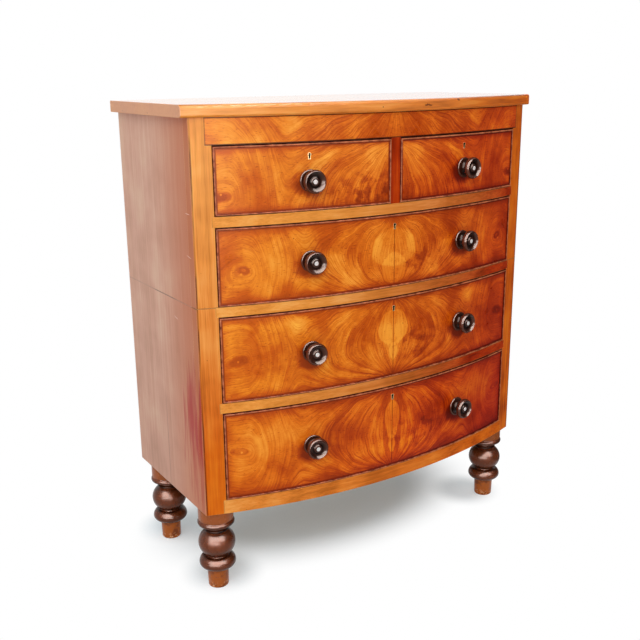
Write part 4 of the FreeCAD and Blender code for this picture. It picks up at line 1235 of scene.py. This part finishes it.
def flats_in_the_polish():
    """Felt at the right keeps the right end's colour deep, and two cards give the turned parts soft lights.
    Only the polish shows them."""
    near_x, far_x, near_y, far_y, low_z, high_z = 0.7, 3.5, -8.0, 1.5, 0.01, 3.5
    upright = ((near_y, low_z), (far_y, low_z), (far_y, high_z), (near_y, high_z))
    level = ((near_x, near_y), (far_x, near_y), (far_x, far_y), (near_x, far_y))
    standing = [(far_x, y, z) for y, z in upright]
    lying = [(x, y, low_z) for x, y in level]
    above_camera = [(-5.5, -1.0, 1.9), (1.8, -4.6, 1.9), (2.2, -1.8, 5.2), (-4.2, 0.8, 5.2)]
    behind_camera = [(-4.8, -1.2, 0.5), (-1.0, -4.2, 0.5), (-1.0, -4.2, 1.7), (-4.8, -1.2, 1.7)]
    felt = dark_felt()
    bright = bright_card()
    for name, corners, material in (
        ("felt_standing", standing, felt),
        ("felt_lying", lying, felt),
        ("card_above_camera", above_camera, bright),
        ("card_behind_camera", behind_camera, bright),
    ):
        flat = sheet_object(name, corners, material)
        flat.visible_camera = False
        flat.visible_diffuse = False
        flat.visible_shadow = False


def photo_camera(settings):
    """Camera at the eye, turned, tilted and rolled."""
    camera_data = bpy.data.cameras.new("photo_camera")
    camera_data.sensor_width = 36.0
    camera_data.lens = settings.focal_length
    camera = bpy.data.objects.new("photo_camera", camera_data)
    camera.location = settings.eye
    aim = Matrix.Rotation(-settings.turn, 3, "Z") @ Matrix.Rotation(math.pi / 2 - settings.tilt, 3, "X")
    camera.rotation_euler = (aim @ Matrix.Rotation(settings.roll, 3, "Z")).to_euler()
    bpy.context.scene.collection.objects.link(camera)
    bpy.context.scene.camera = camera


class CHEST_OT_stage(bpy.types.Operator):
    """Sets the floor, the light and the camera"""

    bl_idname = "chest.stage"
    bl_label = "Set the stage"

    def execute(self, context):
        settings = context.scene.chest_stage
        context.scene.view_settings.view_transform = "Standard"
        studio_world(settings.sky)
        reach = 30.0
        corners = [(-reach, -reach, 0), (reach, -reach, 0), (reach, reach, 0), (-reach, reach, 0)]
        sheet_object("paper_floor", corners, paper_floor())
        flats_in_the_polish()
        middle = (0, 0, 0.7)
        soft_box("soft_box_left", (-2.6, -3.2, 3.4), middle, width=2.6, power=settings.key)
        photo_camera(settings)
        return {"FINISHED"}


OPERATORS = (
    CHEST_OT_fronts,
    CHEST_OT_case,
    CHEST_OT_beads,
    CHEST_OT_knobs,
    CHEST_OT_feet,
    CHEST_OT_insides,
    CHEST_OT_locks,
    CHEST_OT_stage,
)


class CHEST_PT_panel(bpy.types.Panel):
    """Lists the steps that dress the chest"""

    bl_idname = "CHEST_PT_panel"
    bl_label = "Chest of drawers"
    bl_space_type = "VIEW_3D"
    bl_region_type = "UI"
    bl_category = "Chest"

    def draw(self, context):
        for operator in OPERATORS:
            self.layout.operator(operator.bl_idname)


CLASSES = (ChestSizes, ChestColours, StageSettings, *OPERATORS, CHEST_PT_panel)


def register():
    for cls in CLASSES:
        bpy.utils.register_class(cls)
    bpy.types.Scene.chest_sizes = bpy.props.PointerProperty(type=ChestSizes)
    bpy.types.Scene.chest_colours = bpy.props.PointerProperty(type=ChestColours)
    bpy.types.Scene.chest_stage = bpy.props.PointerProperty(type=StageSettings)


def unregister():
    del bpy.types.Scene.chest_stage
    del bpy.types.Scene.chest_colours
    del bpy.types.Scene.chest_sizes
    for cls in reversed(CLASSES):
        bpy.utils.unregister_class(cls)


def main():
    register()
    bpy.ops.chest.fronts()
    bpy.ops.chest.case()
    bpy.ops.chest.beads()
    bpy.ops.chest.knobs()
    bpy.ops.chest.feet()
    bpy.ops.chest.insides()
    bpy.ops.chest.locks()
    bpy.ops.chest.stage()


if __name__ == "__main__":
    main()
